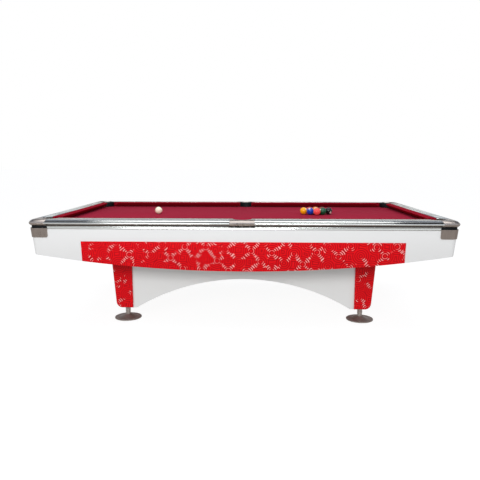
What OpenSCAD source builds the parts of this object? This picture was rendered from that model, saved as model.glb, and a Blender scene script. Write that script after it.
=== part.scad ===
// Nine-foot pocket billiard table with moulded drop pockets, rails, cabinet, legs and levelling feet.
// Origin on the floor under the middle of the table, +X along its length, +Z up, millimetres.

/* [Playing field] */
// Length of the playing field, cushion nose to cushion nose
play_l = 2540; // [2100:10:3050]
// Width of the playing field, cushion nose to cushion nose
play_w = 1270; // [1050:10:1530]
// Height of the playing surface above the floor
bed_h = 758; // [740:1:910]
// Ball diameter
ball_d = 57.15; // [48:0.05:60]

/* [Rails] */
// Height of the rail top above the playing surface
rail_rise = 42; // [38:1:52]
// Height of the cushion nose above the playing surface
nose_rise = 36.3; // [34:0.1:37]
// Cloth-covered width of the cushion
cushion_w = 52; // [46:1:58]
// Width of the flat metal rail top
flat_w = 70; // [60:1:80]
// Distance from the cushion nose to the outermost line of the rail
rail_w = 160; // [156:1:190]
// Radius of the round bead along the outside of the rail
bead_r = 9; // [7:0.5:11]
// Thickness of the metal rail cap
cap_t = 6; // [4:0.5:8]

/* [Pockets] */
// Corner pocket mouth between cushion noses
corner_mouth = 115.6; // [108:0.1:125]
// Side pocket mouth between cushion noses
side_mouth = 129; // [120:0.5:138]
// Radius of the corner pocket hole
corner_r = 60; // [55:0.5:64]
// Radius of the side pocket hole
side_r = 58; // [54:0.5:62]
// Depth of a pocket cup below the slate's top
cup_depth = 137; // [100:1:150]
// Wall of a pocket cup
cup_wall = 3; // [2:0.5:4]

/* [Cabinet] */
// Outward overhang of the cabinet's top edge from the nose line
cab_over = 148; // [142:1:150]
// Inward lean of the cabinet faces in degrees
cab_lean = 5.8; // [3:0.1:7]
// Radius of the cabinet's upright corners at the top
cab_corner_r = 45; // [38:1:50]
// Height of the cabinet side at mid length
side_h = 286; // [240:1:300]
// Rise of the side's bottom edge from mid length to the corner
side_belly = 115; // [60:1:130]
// Rise of the end's bottom edge from the middle to the corner
end_belly = 35; // [20:1:60]
// Thickness of the patterned side panel
skin_t = 3; // [2:0.5:5]
// Distance from the cabinet's end to the patterned panel's end
skin_margin = 341; // [280:1:420]
// Drop of the patterned panel's top edge below the cabinet's top
skin_drop = 83; // [60:1:100]

/* [Slate] */
// Slate thickness
slate_t = 30; // [25:1:34]
// Distance that the slate reaches past the nose line
slate_over = 105; // [100:1:110]
// Bed cloth thickness
cloth_t = 1; // [0.8:0.1:1.5]

/* [Legs] */
// Clearance between the floor and the bottom of a leg
leg_gap = 102; // [90:1:120]
// Distance from the cabinet's end to a leg's outer top edge
leg_margin = 441; // [380:1:520]
// Width of a leg at its top
leg_w = 159; // [130:1:190]
// Depth of a leg from front to back
leg_d = 200; // [160:1:240]
// Distance from the cabinet's side to a leg's front face
leg_setback = 333; // [280:1:380]
// Inward lean of a leg's outer edge in degrees
leg_lean = 4.4; // [0:0.1:6]
// Rounding of a leg's outer bottom corner
leg_round = 45; // [20:1:60]
// Height of the arch's crown above the legs' bottom
arch_rise = 222; // [160:1:260]
// Flat length of the arch panel's foot beside each leg
arch_foot = 28; // [15:1:50]
// Board thickness of the panels between the legs
board_t = 25; // [18:1:30]

/* [Levelling feet] */
// Diameter of the foot disc
disc_d = 200; // [160:1:220]
// Thickness of the foot disc at its rim
disc_t = 8; // [6:0.5:12]
// Height of the disc's raised hub above the floor
hub_h = 30; // [22:1:36]
// Diameter of the screwed stem
stem_d = 38; // [30:1:42]
// Length of the stem above the hub
stem_l = 155; // [130:1:170]
// Travel of a foot from its standing height to fully screwed in
foot_travel = 30; // [10:1:35]

/* [Hidden] */
$fn = 96;
gap = 0.5;            // assembly gap between parts that stand side by side
fit = 0.05;           // radial running clearance of a turning shaft
rest_gap = 0.3;       // gap under and between loose balls
hx = play_l / 2;
hy = play_w / 2;
slate_z = bed_h - cloth_t;
top_z = bed_h + rail_rise;
flat_d = cushion_w + flat_w;
shoulder_r = 46;
shoulder_d = rail_w - 8;
core_d = rail_w - 20;
cap_h = 30;
bead_drop = 24;
groove_w = 5;

// Pocket geometry, measured from the crossing of the nose lines
nose_cut = corner_mouth / sqrt(2);
corner_back = nose_cut - cushion_w / tan(38);
side_back = side_mouth / 2 - cushion_w / tan(76);
corner_c = corner_r - 27;
side_c = side_r + 2;
cast_arm = 114;
joint_out = rail_w - cast_arm;
side_half = 83;
cast_r = 50;
cup_slim = 12;
flare = 6;

// Cabinet
cab_top = slate_z - 21;
cab_in = slate_over + 1;
cab_low = cab_top - side_h;
lean = tan(cab_lean);
cab_hx = hx + cab_over;
cab_hy = hy + cab_over;
flange_z = cab_top + 13;
lower_t = 4.5;
lower_h = 57;
lower_arm = 122;
trim_d = rail_w - 8;
trim_in = slate_over + 7;
trim_end = cab_hx - lower_arm;
trim_end_y = cab_hy - lower_arm;

// Frame under the slate
beam_h = 70;
beam_w = 80;
cross_top = slate_z - slate_t;
long_top = cross_top - beam_h;
leg_top = long_top - beam_h;
slate_hx = hx + slate_over;
slate_hy = hy + slate_over;
seam_x = slate_hx / 3;

// Legs and feet
leg_out = cab_hx - leg_margin;
leg_in = leg_out - leg_w;
leg_front = cab_hy - leg_setback;
leg_back = leg_front - leg_d;
leg_cy = (leg_front + leg_back) / 2;
foot_x = leg_in + 62;
stem_r = stem_d / 2;
socket_r = stem_r + 11;
socket_h = 60;
pin_r = 10;
pin_h = 16;
arch_half = leg_in - arch_foot;
arch_recess = 10;

// Screws, bolts and sights
bolt_d = 85;
bolt_r = 5;
rail_0 = side_half + gap;
rail_1 = hx - corner_back;
rail_bolts_x = [for (f = [0.15, 0.42, 0.70, 0.93]) rail_0 + f * (rail_1 - rail_0)];
rail_bolts_y = [-0.63 * hy, 0, 0.63 * hy];
leg_bolts_x = [leg_in + 40, leg_in + 110];
sight_r = 5;
sight_d = 93.7;
sight_t = 1;
diamond = play_l / 8;
screw_first = 135;
screw_pitch = 365;
screw_r = 2;
side_screw = 52;
screw_z = cab_top + 19;
screw_l = 10;
lip_h = 3;
glue = 0.1;           // thinnest joint: glued panels, slate seams, castings and beams on their seats

CORNERS = [["front_left", -1, -1], ["front_right", 1, -1], ["back_left", -1, 1], ["back_right", 1, 1]];
ENDS = [["left", -1], ["right", 1]];
SIDES = [["front", -1], ["back", 1]];

// ---- helpers ----
// Turns a part drawn at the back right into any quarter of the table
module quarter(sx, sy) {
    mirror([sx < 0 ? 1 : 0, 0, 0]) mirror([0, sy < 0 ? 1 : 0, 0]) children();
}

// Outline of (overhang, height) run along X at the back rail
module along_x(x0, x1) {
    translate([x0, hy, 0]) rotate([90, 0, 90]) linear_extrude(x1 - x0) children();
}

// Outline of (overhang, height) run along Y at the right rail
module along_y(y0, y1) {
    translate([hx, y1, 0]) rotate([90, 0, 0]) linear_extrude(y1 - y0) children();
}

function arc_r(half, rise) = (half * half + rise * rise) / (2 * rise);
function cab_face(z) = cab_over - (cab_top - z) * lean;
function joint_slope() = (rail_w - cushion_w) / (joint_out + corner_back);

module corner_hole(r, z0, z1) {
    translate([hx + corner_c, hy + corner_c, z0]) cylinder(r = r, h = z1 - z0);
}

module side_hole(r, z0, z1) {
    translate([0, hy + side_c, z0]) cylinder(r = r, h = z1 - z0);
}

// All six pocket holes
module pocket_holes(extra, z0, z1) {
    for (c = CORNERS) quarter(c[1], c[2]) corner_hole(corner_r + extra, z0, z1);
    for (s = SIDES) quarter(1, s[1]) side_hole(side_r + extra, z0, z1);
}

// ---- playing bed ----
module bed_cloth() {
    color("#96203a") difference() {
        translate([-hx - cushion_w, -hy - cushion_w, slate_z])
            cube([play_l + 2 * cushion_w, play_w + 2 * cushion_w, cloth_t]);
        pocket_holes(0, slate_z - 1, bed_h + 1);
        for (c = CORNERS) quarter(c[1], c[2])
            translate([hx + corner_c / 3, hy + corner_c / 3, slate_z - 1]) cube([cushion_w, cushion_w, 3]);
    }
}

module slate(x0, x1) {
    color("#6d7073") difference() {
        translate([x0 + glue / 2, -slate_hy, cross_top]) cube([x1 - x0 - glue, 2 * slate_hy, slate_t]);
        pocket_holes(0, cross_top - 1, slate_z + 1);
        for (c = CORNERS) quarter(c[1], c[2]) translate([hx + corner_c, hy + corner_c, cross_top - 1])
            cube([slate_over, slate_over, slate_t + 2]);
        for (s = SIDES) quarter(1, s[1]) translate([-side_r, hy + side_c, cross_top - 1])
            cube([2 * side_r, slate_over, slate_t + 2]);
        rail_bolt_rods(bolt_r + gap, cross_top - 1, slate_z + 1);
    }
}

// Plan of one long rail, between a side pocket and a corner pocket
module long_rail_plan() {
    translate([0, hy]) polygon([
        [side_half + gap, cushion_w], [side_half + gap, rail_w + 1],
        [hx + joint_out - gap + 1 / joint_slope(), rail_w + 1], [hx - corner_back - gap, cushion_w]
    ]);
}

// Plan of one end rail, drawn along Y at the right end
module end_rail_plan() {
    translate([hx, 0]) polygon([
        [cushion_w, hy - corner_back - gap], [rail_w + 1, hy + joint_out - gap + 1 / joint_slope()],
        [rail_w + 1, -hy - joint_out + gap - 1 / joint_slope()], [cushion_w, -hy + corner_back + gap]
    ]);
}

module core_section() {
    translate([cushion_w, slate_z]) square([core_d - cushion_w, top_z - cap_t - slate_z]);
}

module cap_section() {
    difference() {
        intersection() {
            translate([cushion_w, top_z - cap_h]) square([shoulder_d - cushion_w, cap_h]);
            union() {
                translate([cushion_w, top_z - cap_h]) square([flat_d - cushion_w, cap_h]);
                translate([flat_d, top_z - shoulder_r]) circle(shoulder_r, $fn = 180);
            }
        }
        translate([cushion_w - 1, top_z - cap_h - 1]) square([core_d - cushion_w + 1, cap_h + 1 - cap_t]);
        translate([shoulder_d - groove_w, top_z - 17]) square([groove_w + 1, groove_w]);
    }
    translate([rail_w - bead_r, top_z - bead_drop]) circle(bead_r);
}

module cushion_section() {
    nose_z = bed_h + nose_rise;
    polygon([
        [cushion_w, top_z], [cushion_w, bed_h + 4], [cushion_w - 12, bed_h + 4], [3, nose_z - 4],
        [0.8, nose_z - 1.8], [0, nose_z], [0.8, nose_z + 1.8], [4, nose_z + 3.2], [cushion_w / 2, top_z - 0.6]
    ]);
}

module rail_bolt_rods(r, z0, z1) {
    for (c = CORNERS) quarter(c[1], c[2]) for (x = rail_bolts_x)
        translate([x, hy + bolt_d, z0]) cylinder(r = r, h = z1 - z0, $fn = 24);
    for (e = ENDS) quarter(e[1], 1) for (y = rail_bolts_y)
        translate([hx + bolt_d, y, z0]) cylinder(r = r, h = z1 - z0, $fn = 24);
}

module rail_cores() {
    color("#b98f5c") difference() {
        union() {
            for (c = CORNERS) quarter(c[1], c[2]) intersection() {
                along_x(0, hx + rail_w) core_section();
                linear_extrude(top_z + 10) long_rail_plan();
            }
            for (e = ENDS) quarter(e[1], 1) intersection() {
                along_y(-hy - rail_w, hy + rail_w) core_section();
                linear_extrude(top_z + 10) end_rail_plan();
            }
        }
        pocket_holes(gap, slate_z - 1, top_z + 1);
        rail_bolt_rods(bolt_r + gap, slate_z - 1, slate_z + 30);
    }
}

module sight_discs(r, z0, t) {
    for (c = CORNERS) quarter(c[1], c[2]) for (i = [1, 2, 3])
        translate([i * diamond, hy + sight_d, z0]) cylinder(r = r, h = t, $fn = 32);
    for (e = ENDS) quarter(e[1], 1) for (i = [-1, 0, 1])
        translate([hx + sight_d, i * diamond, z0]) cylinder(r = r, h = t, $fn = 32);
}

module rail_cap_long(sx, sy) {
    color("#c6ccca") quarter(sx, sy) difference() {
        intersection() {
            along_x(0, hx + rail_w) cap_section();
            linear_extrude(top_z + 10) long_rail_plan();
        }
        corner_hole(corner_r + gap, slate_z, top_z + 1);
        for (i = [1, 2, 3]) translate([i * diamond, hy + sight_d, top_z - sight_t])
            cylinder(r = sight_r, h = 5, $fn = 32);
    }
}

module rail_cap_end(sx) {
    color("#c6ccca") quarter(sx, 1) difference() {
        intersection() {
            along_y(-hy - rail_w, hy + rail_w) cap_section();
            linear_extrude(top_z + 10) end_rail_plan();
        }
        for (s = SIDES) quarter(1, s[1]) corner_hole(corner_r + gap, slate_z, top_z + 1);
        for (i = [-1, 0, 1]) translate([hx + sight_d, i * diamond, top_z - sight_t])
            cylinder(r = sight_r, h = 5, $fn = 32);
    }
}

module cushion_long(sx, sy) {
    color("#7a1226") quarter(sx, sy) difference() {
        intersection() {
            along_x(0, hx + rail_w) cushion_section();
            linear_extrude(top_z + 10) translate([0, hy]) polygon([
                [side_mouth / 2, 0], [side_back, cushion_w], [hx - corner_back, cushion_w], [hx - nose_cut, 0]
            ]);
        }
        corner_hole(corner_r + gap, bed_h, top_z + 1);
    }
}

module cushion_end(sx) {
    color("#7a1226") quarter(sx, 1) difference() {
        intersection() {
            along_y(-hy - rail_w, hy + rail_w) cushion_section();
            linear_extrude(top_z + 10) translate([hx, 0]) polygon([
                [0, hy - nose_cut], [cushion_w, hy - corner_back],
                [cushion_w, -hy + corner_back], [0, -hy + nose_cut]
            ]);
        }
        for (s = SIDES) quarter(1, s[1]) corner_hole(corner_r + gap, bed_h, top_z + 1);
    }
}

module sights() {
    color("#e9e9e4") sight_discs(sight_r - 0.1, top_z - sight_t, sight_t);
}

module rail_bolts() {
    color("#8d9094") {
        rail_bolt_rods(bolt_r, cross_top, slate_z + 28);
        rail_bolt_heads();
    }
}

module rail_bolt_heads() {
    for (c = CORNERS) quarter(c[1], c[2]) for (x = rail_bolts_x)
        translate([x, hy + bolt_d, cross_top - 8]) cylinder(r = bolt_r * 2, h = 8, $fn = 6);
    for (e = ENDS) quarter(e[1], 1) for (y = rail_bolts_y)
        translate([hx + bolt_d, y, cross_top - 8]) cylinder(r = bolt_r * 2, h = 8, $fn = 6);
}

// ---- pocket castings ----
// The castings swell from the flat rail top to a blunt nose in line with the bead
module casting_section() {
    swell_r = 42;
    under_r = 22;
    intersection() {
        union() {
            translate([cushion_w, slate_z]) square([core_d - cushion_w, top_z - slate_z]);
            translate([cushion_w, slate_z + lip_h + gap])
                square([rail_w + 1 - cushion_w, top_z - slate_z - lip_h - gap]);
        }
        union() {
            translate([cushion_w, slate_z]) square([flat_d - cushion_w, top_z - slate_z]);
            translate([flat_d, top_z - swell_r]) circle(swell_r, $fn = 180);
        }
        union() {
            translate([cushion_w, slate_z]) square([rail_w - under_r - cushion_w, top_z - slate_z]);
            translate([rail_w - under_r, top_z - under_r + 2]) circle(under_r);
        }
    }
}

module corner_casting(sx, sy) {
    inner = rail_w - cast_r;
    color("#a39a90") quarter(sx, sy) difference() {
        intersection() {
            union() {
                along_x(hx - cast_arm, hx + inner) casting_section();
                along_y(hy - cast_arm, hy + inner) casting_section();
                translate([hx + inner, hy + inner, 0]) rotate_extrude(angle = 90) translate([-inner, 0])
                    intersection() {
                        casting_section();
                        translate([inner, 0]) square([2 * cast_r, top_z + 10]);
                    }
            }
            linear_extrude(top_z + 10) translate([hx, hy]) polygon([
                [-corner_back, cushion_w], [joint_out + 1 / joint_slope(), rail_w + 1],
                [rail_w + 1, rail_w + 1], [rail_w + 1, joint_out + 1 / joint_slope()], [cushion_w, -corner_back]
            ]);
        }
        corner_hole(corner_r, slate_z - 1, top_z + 1);
        translate([hx + corner_c, hy + corner_c, top_z - flare])
            cylinder(r1 = corner_r, r2 = corner_r + flare, h = flare + 0.01);
    }
}

module side_casting(sy) {
    color("#a39a90") quarter(1, sy) difference() {
        intersection() {
            along_x(-side_half, side_half) casting_section();
            linear_extrude(top_z + 10) translate([0, hy]) polygon([
                [-side_half, cushion_w], [-side_half, rail_w + 1], [side_half, rail_w + 1], [side_half, cushion_w]
            ]);
        }
        side_hole(side_r, slate_z - 1, top_z + 1);
        translate([0, hy + side_c, top_z - flare])
            cylinder(r1 = side_r, r2 = side_r + flare, h = flare + 0.01);
    }
}

// ---- moulded pocket liners ----
// A tapering cup with an open mouth
module cup(r) {
    difference() {
        translate([0, 0, slate_z - cup_depth]) cylinder(r1 = r - cup_slim, r2 = r, h = cup_depth);
        translate([0, 0, slate_z - cup_depth + cup_wall])
            cylinder(r1 = r - cup_slim - cup_wall, r2 = r - cup_wall, h = cup_depth);
    }
}

// A lip that lines the casting's cut-out behind the line where the cushions end
module lip(r, back) {
    difference() {
        translate([0, 0, slate_z]) cylinder(r = r, h = top_z - flare - slate_z);
        translate([0, 0, slate_z - 1]) cylinder(r = r - cup_wall, h = rail_rise + 10);
        rotate(45) translate([-2 * r, -2 * r + back, slate_z - 1]) cube([4 * r, 2 * r, rail_rise + 10]);
    }
}

module pocket_liner_corner(sx, sy) {
    r = corner_r - gap;
    rim = cab_over - 3;
    rim_r = cab_corner_r - 3;
    color("#141416") quarter(sx, sy) {
        difference() {
            union() {
                translate([hx + corner_c, hy + corner_c, 0]) cup(r);
                translate([hx + cab_in, hy - trim_arm_y(), cab_top])
                    cube([rim - cab_in, trim_arm_y() + rim - rim_r, slate_z - cab_top]);
                translate([hx - trim_arm_x(), hy + cab_in, cab_top])
                    cube([trim_arm_x() + rim - rim_r, rim - cab_in, slate_z - cab_top]);
                translate([hx + corner_c, hy + corner_c, cab_top])
                    cube([rim - rim_r - corner_c, rim - rim_r - corner_c, slate_z - cab_top]);
                translate([hx + rim - rim_r, hy + rim - rim_r, cab_top])
                    cylinder(r = rim_r, h = slate_z - cab_top);
            }
            translate([hx + corner_c, hy + corner_c, cab_top - 1])
                cylinder(r = r - cup_wall, h = slate_z - cab_top + 2);
        }
        intersection() {
            translate([hx + corner_c, hy + corner_c, 0]) lip(r, -20);
            translate([0, 0, slate_z]) cube([2 * hx, 2 * hy, rail_rise]);
        }
    }
}

function trim_arm_x() = hx - trim_end - gap;
function trim_arm_y() = hy - trim_end_y - gap;

module pocket_liner_side(sy) {
    r = side_r - gap;
    color("#141416") quarter(1, sy) {
        translate([0, hy + side_c, 0]) cup(r);
        difference() {
            translate([-side_half + gap, hy + trim_in, flange_z + gap])
                cube([2 * side_half - 2 * gap, cab_over - trim_in, slate_z - flange_z - gap]);
            side_hole(r - cup_wall, flange_z - 1, slate_z + 1);
            for (x = [-side_screw, 0, side_screw]) screw_hole(x);
        }
        difference() {
            translate([0, hy + side_c, slate_z]) cylinder(r = r, h = top_z - flare - slate_z);
            side_hole(r - cup_wall, slate_z - 1, top_z + 1);
            translate([-2 * r, hy, slate_z - 1]) cube([4 * r, cushion_w + gap, rail_rise + 10]);
        }
    }
}

// ---- cabinet ----
module panel_section() {
    polygon([
        [cab_in, cab_top], [cab_face(cab_top), cab_top], [cab_face(cab_low), cab_low], [cab_in, cab_low]
    ]);
}

// Leaning round corner of the cabinet between two heights
module corner_cone(extra, z0, z1) {
    c = cab_over - cab_corner_r;
    translate([hx + c, hy + c, z0])
        cylinder(r1 = cab_face(z0) - c + extra, r2 = cab_face(z1) - c + extra, h = z1 - z0);
}

module side_belly_shape() {
    r = arc_r(cab_hx, side_belly);
    translate([0, 2 * cab_hy, cab_low + r]) rotate([90, 0, 0]) cylinder(r = r, h = 4 * cab_hy, $fn = 720);
}

module end_belly_shape() {
    r = arc_r(cab_hy, end_belly);
    translate([-2 * cab_hx, 0, cab_low + side_belly - end_belly + r]) rotate([0, 90, 0])
        cylinder(r = r, h = 4 * cab_hx, $fn = 720);
}

module cabinet_side(sy) {
    flat = cab_hx - cab_corner_r;
    color("#eeeeee") quarter(1, sy) intersection() {
        difference() {
            union() {
                along_x(-flat, flat) panel_section();
                for (e = ENDS) quarter(e[1], 1) intersection() {
                    corner_cone(0, cab_low, cab_top);
                    translate([flat, cab_hy - cab_corner_r, 0]) cube([cab_corner_r, cab_corner_r, cab_top]);
                }
            }
            side_hole(side_r + 2, cab_top - cup_depth - 5, slate_z);
        }
        side_belly_shape();
    }
}

module cabinet_end(sx) {
    flat = cab_hy - cab_corner_r;
    color("#eeeeee") quarter(sx, 1) intersection() {
        along_y(-flat, flat) panel_section();
        end_belly_shape();
    }
}

module patterned_panel(sy) {
    half = cab_hx - skin_margin;
    z1 = cab_top - skin_drop;
    color("#e1141c") quarter(1, sy) intersection() {
        along_x(-half, half) skin_section(glue, skin_t, cab_low, z1);
        side_belly_shape();
    }
}

module lower_castings() {
    z1 = cab_top + 6;
    z0 = z1 - lower_h - 6;
    flat_x = cab_hx - cab_corner_r;
    flat_y = cab_hy - cab_corner_r;
    color("#a39a90") for (c = CORNERS) quarter(c[1], c[2]) {
        along_x(trim_end, flat_x) skin_section(glue, lower_t, z0, z1);
        along_y(trim_end_y, flat_y) skin_section(glue, lower_t, z0, z1);
        intersection() {
            difference() {
                corner_cone(lower_t, z0, z1);
                corner_cone(glue, z0 - 1, z1 + 1);
            }
            translate([flat_x, flat_y, 0]) cube([2 * cab_corner_r, 2 * cab_corner_r, top_z]);
        }
    }
}

// A plate on the leaning cabinet face, between two distances out of it
module skin_section(inside, outside, z0, z1) {
    polygon([
        [cab_face(z1) + inside, z1], [cab_face(z1) + outside, z1],
        [cab_face(z0) + outside, z0], [cab_face(z0) + inside, z0]
    ]);
}

// Metal profile between the cabinet and the rails
module trim_section() {
    difference() {
        union() {
            translate([trim_in, cab_top]) square([trim_d - trim_in, slate_z - cab_top]);
            translate([core_d + gap, slate_z - 1]) square([trim_d - core_d - gap, lip_h + 1]);
        }
        translate([trim_d - 4, flange_z]) square([5, 4]);
        translate([trim_d - 2, cab_top - 1]) square([3, flange_z - cab_top + 1]);
    }
}

module screw_hole(x) {
    translate([x, hy + cab_over - screw_l - 1, screw_z]) rotate([-90, 0, 0])
        cylinder(r = screw_r + 0.2, h = 2 * screw_l, $fn = 24);
}

screws_x = [for (x = [screw_first : screw_pitch : trim_end - 30]) x];

module apron_trims() {
    color("#c6ccca") {
        for (s = SIDES) quarter(1, s[1]) difference() {
            along_x(-trim_end + gap, trim_end - gap) trim_section();
            translate([-side_half, hy + trim_in - 1, flange_z]) cube([2 * side_half, rail_w, slate_z]);
            side_hole(side_r + 2, cab_top - 1, slate_z + 1);
            for (x = screws_x, m = [-1, 1]) screw_hole(m * x);
        }
        for (e = ENDS) quarter(e[1], 1) along_y(-trim_end_y + gap, trim_end_y - gap) trim_section();
    }
}

module trim_screw(x, d) {
    translate([x, hy + d - screw_l, screw_z]) rotate([-90, 0, 0]) cylinder(r = screw_r, h = screw_l, $fn = 24);
    translate([x, hy + d, screw_z]) rotate([-90, 0, 0]) cylinder(r = screw_r * 1.6, h = 1.2, $fn = 24);
}

module trim_screws() {
    color("#8d9094") for (s = SIDES) quarter(1, s[1]) {
        for (x = screws_x, m = [-1, 1]) trim_screw(m * x, trim_d);
        for (x = [-side_screw, 0, side_screw]) trim_screw(x, cab_over);
    }
}

// ---- frame, legs and feet ----
module frame_beams() {
    inner = slate_hy - 1 - cup_clear();
    color("#b98f5c") {
        for (s = SIDES) translate([-hx - cab_in, s[1] * leg_cy - beam_w / 2, leg_top])
            difference() {
                cube([2 * (hx + cab_in), beam_w, beam_h]);
                for (m = [-1, 1], x = leg_bolts_x) translate([hx + cab_in + m * x, beam_w / 2, -1])
                    cylinder(r = 6.5, h = beam_h + 2, $fn = 24);
            }
        cross_beam(0, beam_w, inner);
        for (m = [-1, 1]) {
            cross_beam(m * seam_x, 1.25 * beam_w, hy + cab_in);
            cross_beam(m * (hx - 170), 0.75 * beam_w, hy + cab_in);
            cross_beam(m * (hx + 30), 0.75 * beam_w, inner);
        }
    }
}

function cup_clear() = 2 * side_r + 40;

module cross_beam(x, w, half) {
    translate([x - w / 2, -half, long_top + glue]) cube([w, 2 * half, beam_h - glue]);
}

// Front view of a leg, its outer edge leaning in and its outer bottom corner rounded
module leg_outline() {
    t = leg_lean;
    out_b = leg_out - (leg_top - leg_gap) * tan(t);
    cx = out_b + leg_round * tan(t) - leg_round / cos(t);
    polygon([
        [leg_in, leg_gap], [cx, leg_gap],
        [cx + leg_round * cos(t), leg_gap + leg_round - leg_round * sin(t)], [leg_out, leg_top], [leg_in, leg_top]
    ]);
    translate([cx, leg_gap + leg_round]) circle(leg_round);
}

module leg(sx, sy) {
    color("#d8121c") quarter(sx, sy) difference() {
        translate([0, leg_front, 0]) rotate([90, 0, 0]) linear_extrude(leg_d) leg_outline();
        translate([foot_x, leg_cy, leg_gap - 1]) cylinder(r = socket_r, h = socket_h + 1);
        translate([foot_x, leg_cy, leg_gap]) cylinder(r = stem_r + 2, h = hub_h + stem_l + foot_travel - leg_gap + 15);
        for (x = leg_bolts_x) translate([x, leg_cy, leg_top - 60]) cylinder(r = 6.5, h = 61, $fn = 24);
    }
}

module leg_bolts() {
    color("#8d9094") for (c = CORNERS) quarter(c[1], c[2]) for (x = leg_bolts_x) {
        translate([x, leg_cy, leg_top - 50]) cylinder(r = 6, h = beam_h + 50, $fn = 24);
        translate([x, leg_cy, long_top]) cylinder(r = 14, h = 9, $fn = 6);
    }
}

module arch_panel(sy) {
    r = arc_r(arch_half, arch_rise);
    color("#eeeeee") quarter(1, sy) translate([0, leg_front - arch_recess, 0]) rotate([90, 0, 0])
        linear_extrude(board_t) difference() {
            translate([-leg_in, leg_gap]) square([2 * leg_in, leg_top - leg_gap]);
            intersection() {
                translate([0, leg_gap + arch_rise - r]) circle(r, $fn = 360);
                translate([-leg_in, leg_gap - 1]) square([2 * leg_in, leg_top]);
            }
        }
}

module end_panels() {
    half = leg_back;
    r = half - arch_foot;
    color("#eeeeee") for (e = ENDS) quarter(e[1], 1) translate([leg_out - 55 - board_t, 0, 0])
        rotate([90, 0, 90]) linear_extrude(board_t) difference() {
            translate([-half, leg_gap]) square([2 * half, leg_top - leg_gap]);
            translate([0, leg_gap]) circle(r);
        }
}

module foot_sockets() {
    color("#7c7f83") for (c = CORNERS) quarter(c[1], c[2]) translate([foot_x, leg_cy, leg_gap]) difference() {
        cylinder(r = socket_r, h = socket_h);
        translate([0, 0, -1]) cylinder(r = stem_r + fit, h = socket_h + 2);
    }
}

module foot_stem(sx, sy) {
    flat_w2 = stem_r - 3;
    color("#a7a29b") quarter(sx, sy) translate([foot_x, leg_cy, 0]) {
        difference() {
            translate([0, 0, hub_h + rest_gap]) cylinder(r = stem_r, h = stem_l);
            for (m = [0, 180]) rotate(m) translate([flat_w2, -stem_r, hub_h - 1]) cube([stem_r, stem_d, 16]);
        }
        translate([0, 0, hub_h - pin_h + rest_gap]) cylinder(r = pin_r, h = pin_h + 1);
    }
}

module foot_disc(sx, sy) {
    color("#948b84") quarter(sx, sy) translate([foot_x, leg_cy, 0]) difference() {
        union() {
            cylinder(r = disc_d / 2, h = disc_t);
            translate([0, 0, disc_t - 1]) cylinder(r1 = disc_d * 0.3, r2 = stem_r + 6, h = hub_h - disc_t + 1);
        }
        translate([0, 0, hub_h - pin_h]) cylinder(r = pin_r + fit, h = pin_h + 1);
    }
}

// ---- balls ----
module ball(x, y) {
    translate([x, y, bed_h + rest_gap + ball_d / 2]) sphere(ball_d / 2, $fn = 64);
}

rack_x = play_l * 3 / 16;
pitch = ball_d + 0.35;

module cue_ball() {
    color("#efe9d8") ball(-play_l * 0.273, 0);
}

// Nine balls in a diamond, its point towards the cue ball
module object_balls() {
    color("#c9902a") for (row = [0 : 4], k = [0 : 2 - abs(row - 2)])
        ball(rack_x + row * pitch * cos(30), (k - (2 - abs(row - 2)) / 2) * pitch);
}

bed_cloth();
slate(-slate_hx, -seam_x);  // slate_left
slate(-seam_x, seam_x);  // slate_middle
slate(seam_x, slate_hx);  // slate_right
rail_cores();
for (c = CORNERS) rail_cap_long(c[1], c[2]);
for (e = ENDS) rail_cap_end(e[1]);
for (c = CORNERS) cushion_long(c[1], c[2]);
for (e = ENDS) cushion_end(e[1]);
for (c = CORNERS) corner_casting(c[1], c[2]);
for (s = SIDES) side_casting(s[1]);
for (c = CORNERS) pocket_liner_corner(c[1], c[2]);
for (s = SIDES) pocket_liner_side(s[1]);
lower_castings();
apron_trims();
for (s = SIDES) cabinet_side(s[1]);
for (e = ENDS) cabinet_end(e[1]);
for (s = SIDES) patterned_panel(s[1]);
frame_beams();
for (c = CORNERS) leg(c[1], c[2]);
for (s = SIDES) arch_panel(s[1]);
end_panels();
foot_sockets();
sights();
rail_bolts();
trim_screws();
leg_bolts();
for (c = CORNERS) foot_stem(c[1], c[2]);
for (c = CORNERS) foot_disc(c[1], c[2]);
cue_ball();
object_balls();
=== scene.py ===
"""The looks of a nine-foot pocket billiard table: cloth, cushions, metal rails, castings, lacquered
cabinet, patterned laminate, levelling feet and balls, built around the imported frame."""

import math

import bmesh
import bpy
from mathutils import Matrix, Vector


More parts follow.
